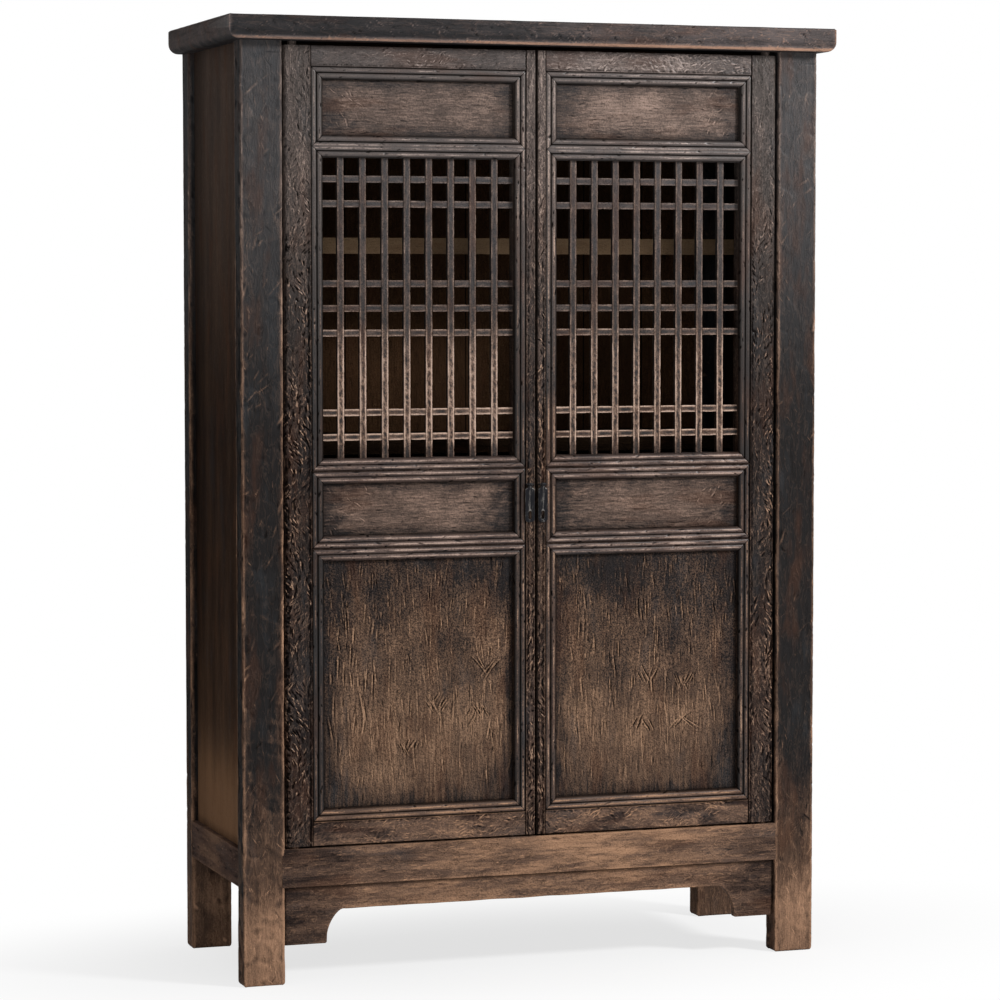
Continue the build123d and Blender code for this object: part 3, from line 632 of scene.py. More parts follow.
# %% Plank top
TOP_X, TOP_FRONT, TOP_BACK, TOP_LOW, TOP_HIGH = 637.0, -251.0, 251.0, POST_TOP, 1900.0
END_ROUND, LOWER_ROUND, UPPER_EDGE = 20.0, 5.0, 3.0


def end_rings(section):
    """Rings that shrink towards an end's middle, dented by up to 0.8 mm."""
    middle = section.mean(0)
    rings = middle + (section - middle) * np.array([0.9, 0.75, 0.55, 0.3, 0.1])[:, None, None]
    y, z = rings[..., 1], rings[..., 2]
    rings[..., 0] -= np.sign(rings[..., 0]) * 0.8 * (0.5 + 0.5 * rumples(y / 25, z / 12, 26, 2))
    rings[..., 3] = 0.34 + 0.24 * rumples(y / 40, z / 10, 27, 2)
    return rings


def plank_top():
    """Plank as sections from front to back, with rounded ends that close in rings."""
    turn = np.radians([60, 30])
    y_low = spread(TOP_FRONT + LOWER_ROUND, 14, TOP_BACK)
    z_back = spread(TOP_LOW + 6, 12, TOP_HIGH - UPPER_EDGE)
    y_high = spread(TOP_BACK - UPPER_EDGE, 9, TOP_FRONT + UPPER_EDGE)
    z_front = spread(TOP_HIGH - UPPER_EDGE, 2.3, TOP_LOW + LOWER_ROUND)
    y = np.concatenate([y_low, np.full(len(z_back), TOP_BACK), y_high,
                        np.full(len(z_front), TOP_FRONT),
                        TOP_FRONT + LOWER_ROUND - LOWER_ROUND * np.sin(turn)])
    z = np.concatenate([np.full(len(y_low), TOP_LOW), z_back, np.full(len(y_high), TOP_HIGH),
                        z_front, TOP_LOW + LOWER_ROUND - LOWER_ROUND * np.cos(turn)])
    way = way_along(np.stack([y, z], -1))
    ends = TOP_X - np.array([0.0, 0.7, 1.6, 3.0, 5.0, 8.0, 12.0, 16.0, 20.0, 24.0])
    x = np.concatenate([-ends, spread(-TOP_X + 27, 3.2, TOP_X - 27), ends[::-1]])
    x, way, y, z = (np.broadcast_to(a, (len(x), len(way))) for a in (x[:, None], way, y, z))
    over = np.clip(np.abs(x) - (TOP_X - END_ROUND), 0, END_ROUND)
    low = TOP_LOW + (END_ROUND - np.sqrt(np.maximum(END_ROUND ** 2 - over ** 2, 0)))
    z = np.maximum(z, low + (z > TOP_LOW + 0.01) * 0.2 * np.minimum(z - TOP_LOW, 1))
    z = np.minimum(z, TOP_HIGH - np.clip(np.abs(x) - (TOP_X - UPPER_EDGE), 0, UPPER_EDGE))
    on_front, on_top = near(y - TOP_FRONT, 2), eased(z, TOP_HIGH - 1, TOP_HIGH)

    grain = 0.25 * (1 - np.abs(rumples(way / 7, x / 200, 21, 3)))
    uneven = 0.4 * (1 + rumples(x / 100, way / 30, 22, 2))
    along, full = (-TOP_X, TOP_X), way.max()  # the front face is the last 48 mm of the way
    cuts = np.concatenate([
        scattered(90, 23, (0, full), along, (3, 14), (1.4, 2.8), (-80, 80), (0.3, 0.9)),
        scattered(40, 29, (full - 42, full), along, (3, 9), (1.5, 2.6), (20, 70), (0.3, 1.0))])
    raised = ridges(way, x, scattered(170, 30, (full - 48, full), along, (3, 9), (1.1, 1.8),
                                      (15, 75), (0.4, 0.9)))
    deep = 0.6 + grain + uneven + strokes(way, x, cuts) - raised
    deep = deep * np.clip((TOP_X - np.abs(x)) / 6, 0.1, 1)
    edge = near(z - TOP_HIGH, 3) * on_front
    deep = deep + edge * np.clip(rumples(x / 30, way / 20, 24, 2), 0, 1)
    y, z = y + on_front * deep, z - on_top * deep * 0.7

    stands_out = proud(deep, 3, 0.8)
    # The lower arris is rubbed to brown and also painted lighter, as painted light on its downward
    # face.
    lower = near(z - TOP_LOW - 3, 4.0) * eased(TOP_FRONT + 6 - y, 0, 3)
    above = near(z - TOP_LOW - 14, 6.0) * on_front
    corner = near(END_ROUND - over, 1.5) * on_front
    # Towards the right end the front is painted lighter: painted light and sheen from the lamp on
    # the right.
    wear_and_painted_light = (0.01 + 0.10 * rumples(x / 90, way / 30, 25, 3) + 0.95 * lower + 0.22 * edge
            - 0.14 * above + 0.42 * eased(x, -560, 640) * on_front + 0.45 * stands_out
            + 0.3 * np.clip(raised, 0, 1) + 0.28 * eased(over, 6, 18) + 0.4 * corner)
    grime_and_painted_shade = eased(-stands_out, 0.12, 0.7) * 0.5 + 0.2 * above
    body = points_of(x, y, z, wear_and_painted_light, grime_and_painted_shade, 0.45 * on_front)
    return carried(np.concatenate([end_rings(body[0])[::-1], body, end_rings(body[-1])]))


piece("top_board", [plank_top()], woods["plank_wood"], "carcase")

# %% [markdown]
# ## Rails and apron of the carcase
# The bottom rails are straight timbers, carried like the posts but lying down. The apron
# under the front rail is a thin board whose lower edge is one function of x: flat in the
# middle, a quarter round up from each bracket, and a short straight side.

# %% Bottom rails
RAIL_LOW, RAIL_HIGH, RAIL_ROUND = 192.0, 270.0, 2.0
FRONT_THICK, SIDE_THICK = 40.0, 30.0
TUCK = 6.0  # how far a piece runs on into its neighbour, so that no gap shows


def bottom_rail(seed, run, faces, steps, axis, base):
    """A section in (depth, height) carried along x or y, dented along its normals.

    It is rubbed along its arrises, and darker at both ends and in long cloudy patches.
    """
    spots, normals, way, gap = outline(*faces, RAIL_LOW, RAIL_HIGH, RAIL_ROUND, steps)
    v = np.repeat(spread(run[0], 3.0, run[1])[:, None], len(way), 1)
    u = np.broadcast_to(way, v.shape)
    deep, raised = timber_marks(u, v, seed, 45, 13)
    stands_out = proud(deep, 3, 0.8)
    side, up = spots[:, 0] - normals[:, 0] * deep, spots[:, 1] - normals[:, 1] * deep
    from_end = np.minimum(v - v.min(), v.max() - v)
    wear_and_painted_light = (base + 0.24 * rumples(v / 170, u / 30, seed + 7, 4) + 0.16 * near(gap, 4)
            - 0.24 * eased(rumples(v / 120, u / 13, seed + 11, 3), 0.1, 0.8)
            - 0.45 * eased(260 - from_end, 0, 260) - 0.26 * eased(-v, -200, 450)
            + 0.55 * stands_out + 0.3 * np.clip(raised, 0, 1))
    x, y = (v, side) if axis == "x" else (side, v)
    return carried(points_of(x, y, up, wear_and_painted_light, eased(-stands_out, 0.15, 0.7) * 0.5))


across = (-INNER_X - TUCK, INNER_X + TUCK)
to_back = (FRONT_POST[1] - TUCK, BACK_POST[0] + TUCK)
faces = (FRONT_POST[0], FRONT_POST[0] + FRONT_THICK)
piece("front_bottom_rail", [bottom_rail(31, across, faces, (8, 20, 8, 2.2), "x", 0.87)],
      woods["base_wood_level"], "carcase")
for name, side in SIDES.items():
    faces = sorted((side * HALF_WIDTH, side * (HALF_WIDTH - SIDE_THICK)))
    piece(f"{name}_bottom_rail", [bottom_rail(33 + side, to_back, faces, (8, 3, 8, 3), "y", 1.0)],
          woods["base_wood_deep"], "carcase")

# %% Apron
APRON_FRONT, APRON_BACK, APRON_LOW, APRON_ROUND = -211.0, -195.0, 144.0, 6.0
TIP_LOW, TIP_X, TIP_ROUND = 77.0, 436.0, 4.0
THROAT_X, THROAT_WIDE, THROAT_DROP = 403.5, 32.5, 57.0


def rim(grid):
    """The points round a grid's edge, once round."""
    return np.concatenate([grid[:-1, 0], grid[-1, :-1], grid[:0:-1, -1], grid[0, :0:-1]])


def moved_back(ring, y, grime_and_painted_shade=0.0):
    """The same ring, flat at depth y."""
    ring = ring.copy()
    ring[:, 1] = y
    ring[:, 4] = np.maximum(ring[:, 4], grime_and_painted_shade)
    return ring


def backed(front, *rings):
    """A front sheet (rows, columns, 6), then rings that follow its edge to the back."""
    rows, columns = front.shape[:2]
    index = np.arange(rows * columns).reshape(rows, columns)
    quads = [np.stack([index[:-1, :-1], index[1:, :-1], index[1:, 1:], index[:-1, 1:]],
                      -1).reshape(-1, 4)]
    last, total = rim(index[..., None])[:, 0], rows * columns
    for ring in rings:
        now = np.arange(total, total + len(ring))
        quads.append(np.stack([np.roll(last, -1), last, now, np.roll(now, -1)], -1))
        last, total = now, total + len(ring)
    return (np.concatenate([front.reshape(-1, 6), *rings]), np.concatenate(quads),
            [last[::-1].tolist()])


def apron():
    """Board whose lower edge drops at both ends to a bracket with a concave inner side.

    The throat falls by its drop times (1 - sqrt(1 - t^2)) ** 0.75, t from 0 to 1 over it.
    """
    turn = quarter(14)
    half = np.sort(np.concatenate([
        spread(0, 3, THROAT_X - 1), THROAT_X + THROAT_WIDE * np.sin(turn),
        TIP_X + np.array([0, 0.3, 1.2, 2.6, 4]), spread(TIP_X + 6, 3, INNER_X - APRON_ROUND),
        INNER_X - APRON_ROUND + APRON_ROUND * np.sin(turn[2::3]), [INNER_X + 4]]))
    x = np.concatenate([-half[:0:-1], half])
    out = np.abs(x)
    lean = np.clip((out - THROAT_X) / THROAT_WIDE, 0, 1)
    rise = APRON_LOW - THROAT_DROP * (1 - np.sqrt(1 - lean ** 2)) ** 0.75
    inside = np.clip(TIP_X + TIP_ROUND - out, 0, TIP_ROUND)
    corner = TIP_LOW + TIP_ROUND - np.sqrt(np.clip(TIP_ROUND ** 2 - inside ** 2, 0, None))
    low = np.where(out > TIP_X + 0.01, corner, np.where(out < THROAT_X, APRON_LOW, rise))
    low = low + 0.8 * rumple(x / 60, x * 0, 41) * (out < THROAT_X - 5)
    share = np.concatenate([[0, 0.008, 0.02], np.linspace(0.045, 1, 24)])
    x, low = x[:, None], low[:, None]
    z = low + share * (RAIL_LOW + 3 - low)
    x = np.broadcast_to(x, z.shape)
    over = np.clip(np.abs(x) - (INNER_X - APRON_ROUND), 0, APRON_ROUND)
    round_end = APRON_ROUND - np.sqrt(APRON_ROUND ** 2 - over ** 2)
    marks, raised = timber_marks(z, x, 42, 36, 13)
    deep = marks - 0.4 + 1.2 * (1 - share) ** 40
    wear_and_painted_light = (0.70 + 0.24 * rumples(x / 120, z / 24, 43, 4) + 0.3 * np.clip(raised, 0, 1)
            + 0.25 * near(z - low, 3) - 0.5 * eased(np.abs(x), 330, INNER_X)
            + 0.5 * proud(deep, 3, 0.8)
            - 0.14 * eased(rumples(x / 120, z / 24, 44, 2), 0.2, 0.8))
    # The top of the apron, just under the rail, is painted dark: painted shade under the rail.
    front = points_of(x, APRON_FRONT + deep + round_end, z, wear_and_painted_light,
                      0.6 * eased(z, RAIL_LOW - 7, RAIL_LOW))
    return backed(front, moved_back(rim(front), APRON_BACK))


piece("front_apron", [apron()], woods["base_wood_level"], "carcase")

# %% [markdown]
# ## Side panels
# Each side is one wide board set back between the posts. It was planed smooth, so it
# has only slow waves across the grain, and its stain is thin towards the bottom.

# %% Side panels
PANEL_FACE, PANEL_INSIDE = 597, 585  # from the middle of the cabinet


def side_panel(side, seed):
    """Board from the front post to the back post, a little thinner at its back edge."""
    z, y = np.broadcast_arrays(
        spread(RAIL_HIGH - 8, 9, POST_TOP + 4)[:, None],
        spread(FRONT_POST[1] - 3, 8, BACK_POST[0] - 15, 2.5, BACK_POST[0] + 2)[None, :])
    deep = 0.25 * (1 + rumples(y / 30, z / 500, seed, 2)) + 0.2
    deep = deep + strokes(y, z, scattered(40, seed + 1, (-170, 200), (280, 1840), (6, 40),
                                          (1.5, 4), (-25, 25), (0.2, 0.7)))
    gap = eased(y, BACK_POST[0] - 6, BACK_POST[0] - 2.5)
    from_middle = np.abs(y - (FRONT_POST[1] + BACK_POST[0]) / 2)
    wear_and_painted_light = (0.23 + 0.12 * eased(820 - z, 0, 400) + 0.82 * eased(540 - z, 0, 220)
            + 0.12 * rumples(y / 40, z / 400, seed + 2, 3) + 0.26 * eased(z, 1150, 1700)
            - 0.12 * eased(from_middle, 140, 190) - 0.25 * eased(290 - z, 0, 14))
    # Painted shade: darker towards the back post, the more so higher up, and darkest in the gap at
    # its back edge.
    painted_shade_to_back = 0.55 * eased(y, 20, 200) * (0.5 + 0.5 * eased(z, 350, 900))
    front = points_of(side * (PANEL_FACE - deep - 6 * gap), y, z, wear_and_painted_light,
                      np.maximum(0.9 * gap, painted_shade_to_back))
    back = rim(front)
    back[:, 0] = side * PANEL_INSIDE
    return backed(front, back)


for name, side in SIDES.items():
    piece(f"{name}_side_panel", [side_panel(side, 50 + side)], woods["side_wood_upright"],
          "carcase", "panel_wood")

# %% [markdown]
# ## Door frames
# Every opening in a door has the same edge: two half round beads with a sharp valley
# between them. The stiles and rails are mitred across that edge, so a rail's front ends
# in a 45 degree point or slope. The depth of a bead depends only on how far a point is
# from the opening, so one function of that distance serves stiles and rails, and the
# mitred ends come from letting the grid's columns stop at the shoulder line.

# %% Door sizes and the beaded edge
FACE, SHOULDER_Y, BACK = -217.0, -206.0, -183.0
HINGE_A, OPEN_OUTER, OPEN_INNER, SEAM_A = 520.0, 441.0, 45.0, 1.5  # from the middle, in x
DOOR_LOW, DOOR_HIGH = 273.0, 1844.0
RAILS = {"foot_rail": (DOOR_LOW, 345.0), "waist_rail": (836.0, 885.0),
         "sill_rail": (988.5, 1037.5), "frieze_rail": (1627.5, 1670.5),
         "head_rail": (1779.5, DOOR_HIGH)}
OPENINGS = {name: (below[1], above[0]) for name, below, above in zip(
    ("skirt", "waist", "window", "frieze"), RAILS.values(), list(RAILS.values())[1:])}
BEADED, VALLEY, CRESTS, HALF_BEAD = 24.0, 12.6, (6.9, 18.3), 5.7  # from the opening
BEAD_GAPS = np.array([0, 0.8, 1.5, 2.3, 3.6, 4.9, 6.1, 7.4, 8.7, 10.2, 11.5, 12.2, VALLEY, 13.0,
                      13.7, 15.0, 16.5, 17.7, 18.9, 20.1, 21.6, 22.9, 23.6, 23.95, BEADED, 24.6])


def beads(gap):
    """Depth of the beaded edge at a distance from the opening, in mm.

    A narrow step drops 5 mm beside the opening, then come two beads, each an arc
    0.4 + drop * (1 - sqrt(1 - t^2)) ** 0.85 with t from -1 to 1 across it.
    """
    t = (gap - np.where(gap < VALLEY, *CRESTS)) / HALF_BEAD
    edge_drop = np.where(gap < CRESTS[0], 5.0, 3.6)
    arc = 1 - np.sqrt(np.clip(1 - np.clip(t, -1, 1) ** 2, 0, 1))
    return np.where(gap < BEADED, 0.4 + (edge_drop - 0.4) * arc ** 0.85, 0.0)


def broken_edge(u, v, seed):
    """Small losses along the beads: mostly none, then a chip a few mm long."""
    return 0.1 * (1 + rumples(u / 12, v / 30, seed, 2)) + strokes(u, v, scattered(
        90, seed + 1, (0, BEADED), (DOOR_LOW, DOOR_HIGH), (2.5, 9), (1, 2.4), (-15, 15),
        (0.3, 1.1)))


def bead_highlight_and_shade(gap, v, seed):
    """Painted highlight and shade of a bead, against the flat: below 0 on its
    sides, high on its crest.

    The painted highlight on the crest is a thin line that comes and goes along the bead.
    """
    crest = near(gap - 6.6, 1.4) + near(gap - 18.2, 1.4)
    glow = 0.75 + 0.9 * rumples(v / 75, gap / 8, seed, 5, 0.7)
    return (gap < BEADED) * (0.66 * crest * np.clip(glow, 0.2, 1.5) - 0.22)


def bead_painted_shade(gap):
    """Painted shade in the two grooves of the edge and on the side towards the opening."""
    return 0.95 * near(gap - VALLEY, 1.9) + 0.95 * near(gap - 23.8, 1.5) + 0.75 * near(gap, 3.2)


def from_opening(name, z):
    """How far height z on a rail is from the nearest opening; below 0 off the rail."""
    z0, z1 = RAILS[name]
    below = np.inf if name == "foot_rail" else z - z0
    above = np.inf if name == "head_rail" else z1 - z
    return np.minimum(below, above)


def mitre(name, gap):
    """A mitred front runs as far past the opening's side as it is away from the opening,
    and on the top and bottom rails no further than the beads go."""
    return np.minimum(gap, BEADED) if name in ("foot_rail", "head_rail") else gap


def past_side(z):
    """How far the rails' fronts come in past the opening's side at height z."""
    return np.max([0 * z, *(mitre(name, from_opening(name, z)) for name in RAILS)], axis=0)


print("beads are", beads(np.array([6.9, 12.6, 18.3])).round(2), "mm deep at crest and valley")

# %% Stiles
PIVOT_X, PIVOT_Y, PIVOT_LOW, PIVOT_HIGH = 500, -203, 263.5, 1866.0


def turned(marks, most, pattern):
    """Marks that lean by up to so many degrees more, as a slow pattern tells them to."""
    marks[:, 4] += most * np.clip(pattern, -1, 1)
    return marks


def carved_marks(u, v, seed, width, wild):
    """Depth of the gnarled carving on a stile, and its raised lines alone, both in mm.

    u runs across from the opening and v along. The ground is folded in slow warped waves.
    On it lie hundreds of short ridges and cuts; a slow pattern turns them all left in one
    place and all right in the next. A row of chips follows the outer edge low down.
    """
    sway = 10 * rumple(u / 50, v / 110, seed) + 4 * rumple(u / 17, v / 30, seed + 1)
    area = (width - BEADED) * (DOOR_HIGH - DOOR_LOW)
    place = (BEADED - 6, width + 6), (DOOR_LOW, DOOR_HIGH)

    def leaning(room, k, length, half_width, depth):
        marks = scattered(int(area / room), seed + k, *place, length, half_width, (-16, 16), depth)
        return turned(marks, 36, 2.6 * rumple(marks[:, 0] / 38, marks[:, 1] / 95, seed + 40))

    patchy = 0.35 + 0.65 * eased(rumples(u / 60, v / 190, seed + 9, 2), -0.3, 0.15)
    ground = 1.3 * np.abs(rumples((u + sway) / 15, v / 42, seed + 2, 3)) ** 0.7
    raised = ridges(u + 0.4 * sway, v, leaning(105, 5, (2.5, 9), (1.2, 1.8), (0.7, 1.6)))
    cuts = strokes(u + 0.4 * sway, v, leaning(180, 6, (3, 12), (1.3, 2.4), (0.8, 2.2)))
    row = np.arange(DOOR_LOW + 8, 960, 11.5)
    chips = scattered(len(row), seed + 7, (width - 7, width - 3), (-4, 4), (2.5, 5), (1.8, 3.0),
                      (50, 85), (0.3, 1.5))
    chips[:, 1] += row
    deep = 1.4 + wild * patchy * (ground + cuts - raised)
    return np.maximum(deep, 0.05) + strokes(u, v, chips) * wild ** 3, wild * patchy * raised


def stile(side, edge, out, width, seed, corner_front, corner_back, wild, low_tone, high_tone):
    """A door stile as sections going up: front from its outer edge in, then the back.

    t is the distance from the opening's side. Where a rail's mitred front comes in, the
    columns stop where it ends, and the section steps back to the square shoulder.
    """
    breaks = sorted({DOOR_LOW, DOOR_HIGH, *(z for pair in RAILS.values() for z in pair),
                     *((z0 + z1) / 2 for z0, z1 in RAILS.values()),
                     RAILS["foot_rail"][1] - BEADED, RAILS["head_rail"][0] + BEADED})
    z = spread(breaks[0], *(stop for place in breaks[1:] for stop in (1.75, place)))[:, None]
    flat = spread(BEADED + 2, 1.45, width - corner_front)
    turn = quarter(7, 1)
    t_front = np.concatenate([BEAD_GAPS, flat, width - corner_front
                              + corner_front * np.sin(turn)])[::-1]
    corner = np.concatenate([np.zeros(len(BEAD_GAPS) + len(flat)),
                             corner_front * (1 - np.cos(turn))])[::-1]
    past = past_side(z)
    t = np.maximum(t_front[None, :], past)
    zz = np.broadcast_to(z, t.shape)
    on_bead, on_mitre = t < BEADED, past > 0.5
    on_flat = eased(t, BEADED, BEADED + 5) * (1 - 0.55 * eased(t, width - 3, width))
    quiet = on_flat * (1 - 0.65 * eased(zz, 1250, 1700))
    carving, raised = (part * quiet for part in carved_marks(t, zz, seed, width, wild))
    small = broken_edge(t, zz, seed + 20) * (1 - on_flat)
    deep = carving + small + beads(t) + 0.7 * near(t - past, 0.9) * on_mitre + corner
    stands_out = proud(carving + small, 4, 1.0)
    middle = 1 - 0.5 * eased(np.abs(zz - 620), 0, 500)
    wear_and_painted_light = (0.09 + 0.5 * stands_out + bead_highlight_and_shade(t, zz, seed + 32)
            + 0.75 * np.clip(raised, 0, 1.1) + 0.18 * rumples(t / 30, zz / 140, seed + 30, 3)
            + 0.30 * eased(zz, 1250, 1750) - 0.08 * middle
            + low_tone + (high_tone - low_tone) * eased(zz, 500, 1500)
            + 0.12 * on_bead * (side > 0))
    # On the right door's meeting stile the last few mm by the seam are painted dark: painted shade
    # in the seam between the doors.
    grime_and_painted_shade = (eased(-stands_out, 0.06, 0.7) * 0.95 + bead_painted_shade(t)
              + 0.8 * near(t - past, 1.0) * on_mitre
              + 0.9 * eased(t, width - 5, width - 1.5) * (out < 0 < side))
    front = points_of(side * (edge + out * t), FACE + deep, zz, wear_and_painted_light, np.clip(grime_and_painted_shade, 0, 1),
                      np.where(on_bead, 1.0, 0.4))

    turn = quarter(5, 1)
    flat_back = spread(0, 12, width - corner_back)
    t_back = np.concatenate([flat_back, width - corner_back + corner_back * np.sin(turn)])
    y_back = np.concatenate([np.full(len(flat_back), BACK),
                             BACK - corner_back * (1 - np.cos(turn))])
    lines = [(past, SHOULDER_Y), (0.0, SHOULDER_Y), *zip(t_back, y_back)]
    return carried(np.concatenate([front] + [
        points_of(side * (edge + out * t_line), y_line, z, 0.2, 0.3)
        for t_line, y_line in lines], axis=1))


def pin(side, heights, radii):
    """Wooden pivot turned on the end of a hinge stile, a little thinner at its tip."""
    turn = np.linspace(0, 2 * math.pi, 24, endpoint=False)
    z, radius = np.array([heights, radii])[..., None]
    return carried(points_of(side * PIVOT_X + radius * np.cos(turn),
                             PIVOT_Y + radius * np.sin(turn), z, 0.5))


for name, side in SIDES.items():  # a look: how wild the carving is, its tone low and high
    hinge_look = (1.0, 0.03, -0.04) if side < 0 else (0.75, 0.15, -0.24)
    meeting_look = (0.7, 0.32, 0.08) if side < 0 else (0.7, 0.30, 0.26)
    piece(f"{name}_door_hinge_stile",
          [stile(side, OPEN_OUTER, 1, HINGE_A - OPEN_OUTER, 60 + side, 10, 14, *hinge_look),
           pin(side, (PIVOT_LOW, PIVOT_LOW + 1.5, DOOR_LOW + 1), (8, 9, 9)),
           pin(side, (DOOR_HIGH - 1, PIVOT_HIGH - 1.5, PIVOT_HIGH), (9, 9, 8))],
          woods["frame_wood_upright"], f"{name}_door")
    piece(f"{name}_door_meeting_stile",
          [stile(side, OPEN_INNER, -1, OPEN_INNER - SEAM_A, 64 + side, 2, 2, *meeting_look)],
          woods["frame_wood_upright"], f"{name}_door")

# %% Door rails
RAIL_TONES = {"foot_rail": 0.40, "waist_rail": 0.50, "sill_rail": 0.50, "frieze_rail": 0.37}
DOOR_MIDDLE, HALF_OPENING = (OPEN_INNER + OPEN_OUTER) / 2, (OPEN_OUTER - OPEN_INNER) / 2


def hammered_marks(u, v, seed):
    """Short slanting chisel marks on a flat, and their raised lines: u up, v along."""
    patch = 0.5 + 0.5 * eased(rumples(v / 90, u / 40, seed + 1, 2), -0.2, 0.3)
    ground = 0.9 * np.abs(rumples((v + 0.6 * u) / 13, (u - 0.4 * v) / 26, seed, 3)) ** 0.7
    marks = scattered(330, seed + 3, (u.min(), u.max()), (v.min(), v.max()), (2.5, 9),
                      (1.2, 1.8), (-26, 26), (0.4, 1.1))
    marks = turned(marks, 38, 2.4 * rumple(marks[:, 1] / 55, marks[:, 0] / 40, seed + 4))
    raised = ridges(u, v, marks) * patch
    return 1.2 + ground * patch - raised, raised


def rail(side, name, seed):
    """A door rail: front layer with mitred ends, and the block behind it."""
    z0, z1 = RAILS[name]
    if name == "foot_rail":
        z = np.concatenate([spread(z0, 1.5, z1 - BEADED - 1.5), (z1 - BEAD_GAPS)[::-1]])
    elif name == "head_rail":
        z = np.concatenate([z0 + BEAD_GAPS, spread(z0 + BEADED + 2, 1.5, z1)])
    else:
        half = BEAD_GAPS[BEAD_GAPS < (z1 - z0) / 2]
        z = np.concatenate([z0 + half, [(z0 + z1) / 2], (z1 - half)[::-1]])
    gap = from_opening(name, z)
    past = mitre(name, gap)
    ends = np.linspace(0, 1, 13)[1:]
    main = spread(OPEN_INNER, 1.8, OPEN_OUTER)
    a = np.concatenate([OPEN_INNER - ends[::-1, None] * past, np.broadcast_to(
        main[:, None], (len(main), len(z))), OPEN_OUTER + ends[:, None] * past])
    zz, gap = np.broadcast_to(z, a.shape), np.broadcast_to(gap, a.shape)
    on_flat = eased(gap, BEADED, BEADED + 4)
    carving, raised = (part * on_flat for part in hammered_marks(zz, a, seed))
    nicks = strokes(zz, a, scattered(70, seed + 3, (z0, z1), (0, 480), (2, 10), (1, 2.4),
                                     (-20, 20), (0.3, 1.2))) * (1 - 0.5 * on_flat)
    waves = 0.15 * (1 + rumples(a / 30, zz / 14, seed + 4, 2))
    joint = np.minimum(np.abs(a - OPEN_OUTER - past), np.abs(a - OPEN_INNER + past))
    seam = near(joint, 0.9) * (past > 0.5)
    deep = beads(gap) + carving + nicks + waves + 0.7 * seam
    deep = deep + 1.0 * np.exp(-np.minimum(zz - DOOR_LOW, DOOR_HIGH - zz) / 1.5)
    # The head rail has no tone listed: it is painted darker on the left door and lighter on the
    # right, as painted light from the lamp on the right.
    tone = RAIL_TONES.get(name, 0.18 if side < 0 else 0.50)
    middle = 1 - np.abs((a - DOOR_MIDDLE) / HALF_OPENING) ** 2
    stands_out = proud(carving + nicks + waves, 3, 1.0)
    wear_and_painted_light = (tone + 0.12 * middle + 0.45 * stands_out + bead_highlight_and_shade(gap, a, seed + 8)
            + 0.4 * np.clip(raised, 0, 1) + 0.18 * rumples(a / 70, zz / 20, seed + 5, 3))
    # On the foot rail the beaded edge gets a painted highlight, and the flat long darker patches.
    if name == "foot_rail":
        wear_and_painted_light = wear_and_painted_light + on_flat * (0.09 - 0.42 * eased(rumples(a / 100, zz / 32, seed + 7, 2),
                                                     0.05, 0.5)) + 0.22 * (1 - on_flat)
    valleys = 0.75 if name in ("sill_rail", "waist_rail") else 1.0
    grime_and_painted_shade = eased(-stands_out, 0.12, 0.8) * 0.7 + valleys * bead_painted_shade(gap) + 0.8 * seam
    front = points_of(side * a, FACE + deep, zz, wear_and_painted_light, np.clip(grime_and_painted_shade, 0, 1),
                      np.where(gap < BEADED, 1.0, 0.45))
    layer = backed(front, moved_back(rim(front), SHOULDER_Y, 0.3))
    box_a, box_z = np.meshgrid(spread(OPEN_INNER, 30, OPEN_OUTER), spread(z0, 12, z1),
                               indexing="ij")
    block = points_of(side * box_a, SHOULDER_Y - 1, box_z, 0.1, 0.3)
    return [layer, backed(block, moved_back(rim(block), BACK))]


for name, side in SIDES.items():
    for k, rail_name in enumerate(RAILS):
        wood = woods["base_wood_level" if rail_name == "foot_rail" else "frame_wood_level"]
        piece(f"{name}_door_{rail_name}", rail(side, rail_name, 80 + 12 * k + side), wood,
              f"{name}_door")

# %% [markdown]
# ## Door panels
# The panels carry most of the wear: the middle is rubbed brown to tan, and the stain
# stays in a dark border where a cloth can't reach. The big lower panels were scraped
# along the grain and have a few long slanting scratches as well. `scallops` are the
# shallow bowls that a tool leaves, and `worms` the thin crests between grain lines.

# %% Door panels
GROOVE, PANEL_BACK = 5, -196.0  # how far a panel runs into its groove, and its back
# by side: the dark border's width at left, right and top, and how pale the middle is
SKIRT_BORDER = {-1: (62, 30, 165, 0.42), 1: (34, 90, 225, 0.36)}
# by opening: how much of the wear is left at both ends, and what the right door adds
BOARD_WEAR = {"waist": (0.12, -0.09), "frieze": (0.38, 0.08)}


def scallops(u, v, seed):
    """Bowls that meet in ridges: 0 at the middle of a bowl, near 1 on the ridges.

    One point is scattered in each unit square. The value is the distance to the nearest
    point over the distance to the second nearest, squared.
    """
    spots = np.random.default_rng(seed).random((128, 128, 2))
    iu, iv = np.floor(u).astype(int), np.floor(v).astype(int)
    nearest, second = np.full(u.shape, 9.0), np.full(u.shape, 9.0)
    for du in (-1, 0, 1):
        for dv in (-1, 0, 1):
            spot = spots[(iu + du) % 128, (iv + dv) % 128]
            gap = np.hypot(iu + du + spot[..., 0] - u, iv + dv + spot[..., 1] - v)
            second = np.minimum(second, np.maximum(nearest, gap))
            nearest = np.minimum(nearest, gap)
    return (nearest / (second + 1e-6)) ** 2


def worms(u, v, seed, width):
    """Thin winding crests: 1 where a slow pattern passes 0."""
    return near(rumples(u, v, seed, 2), width)


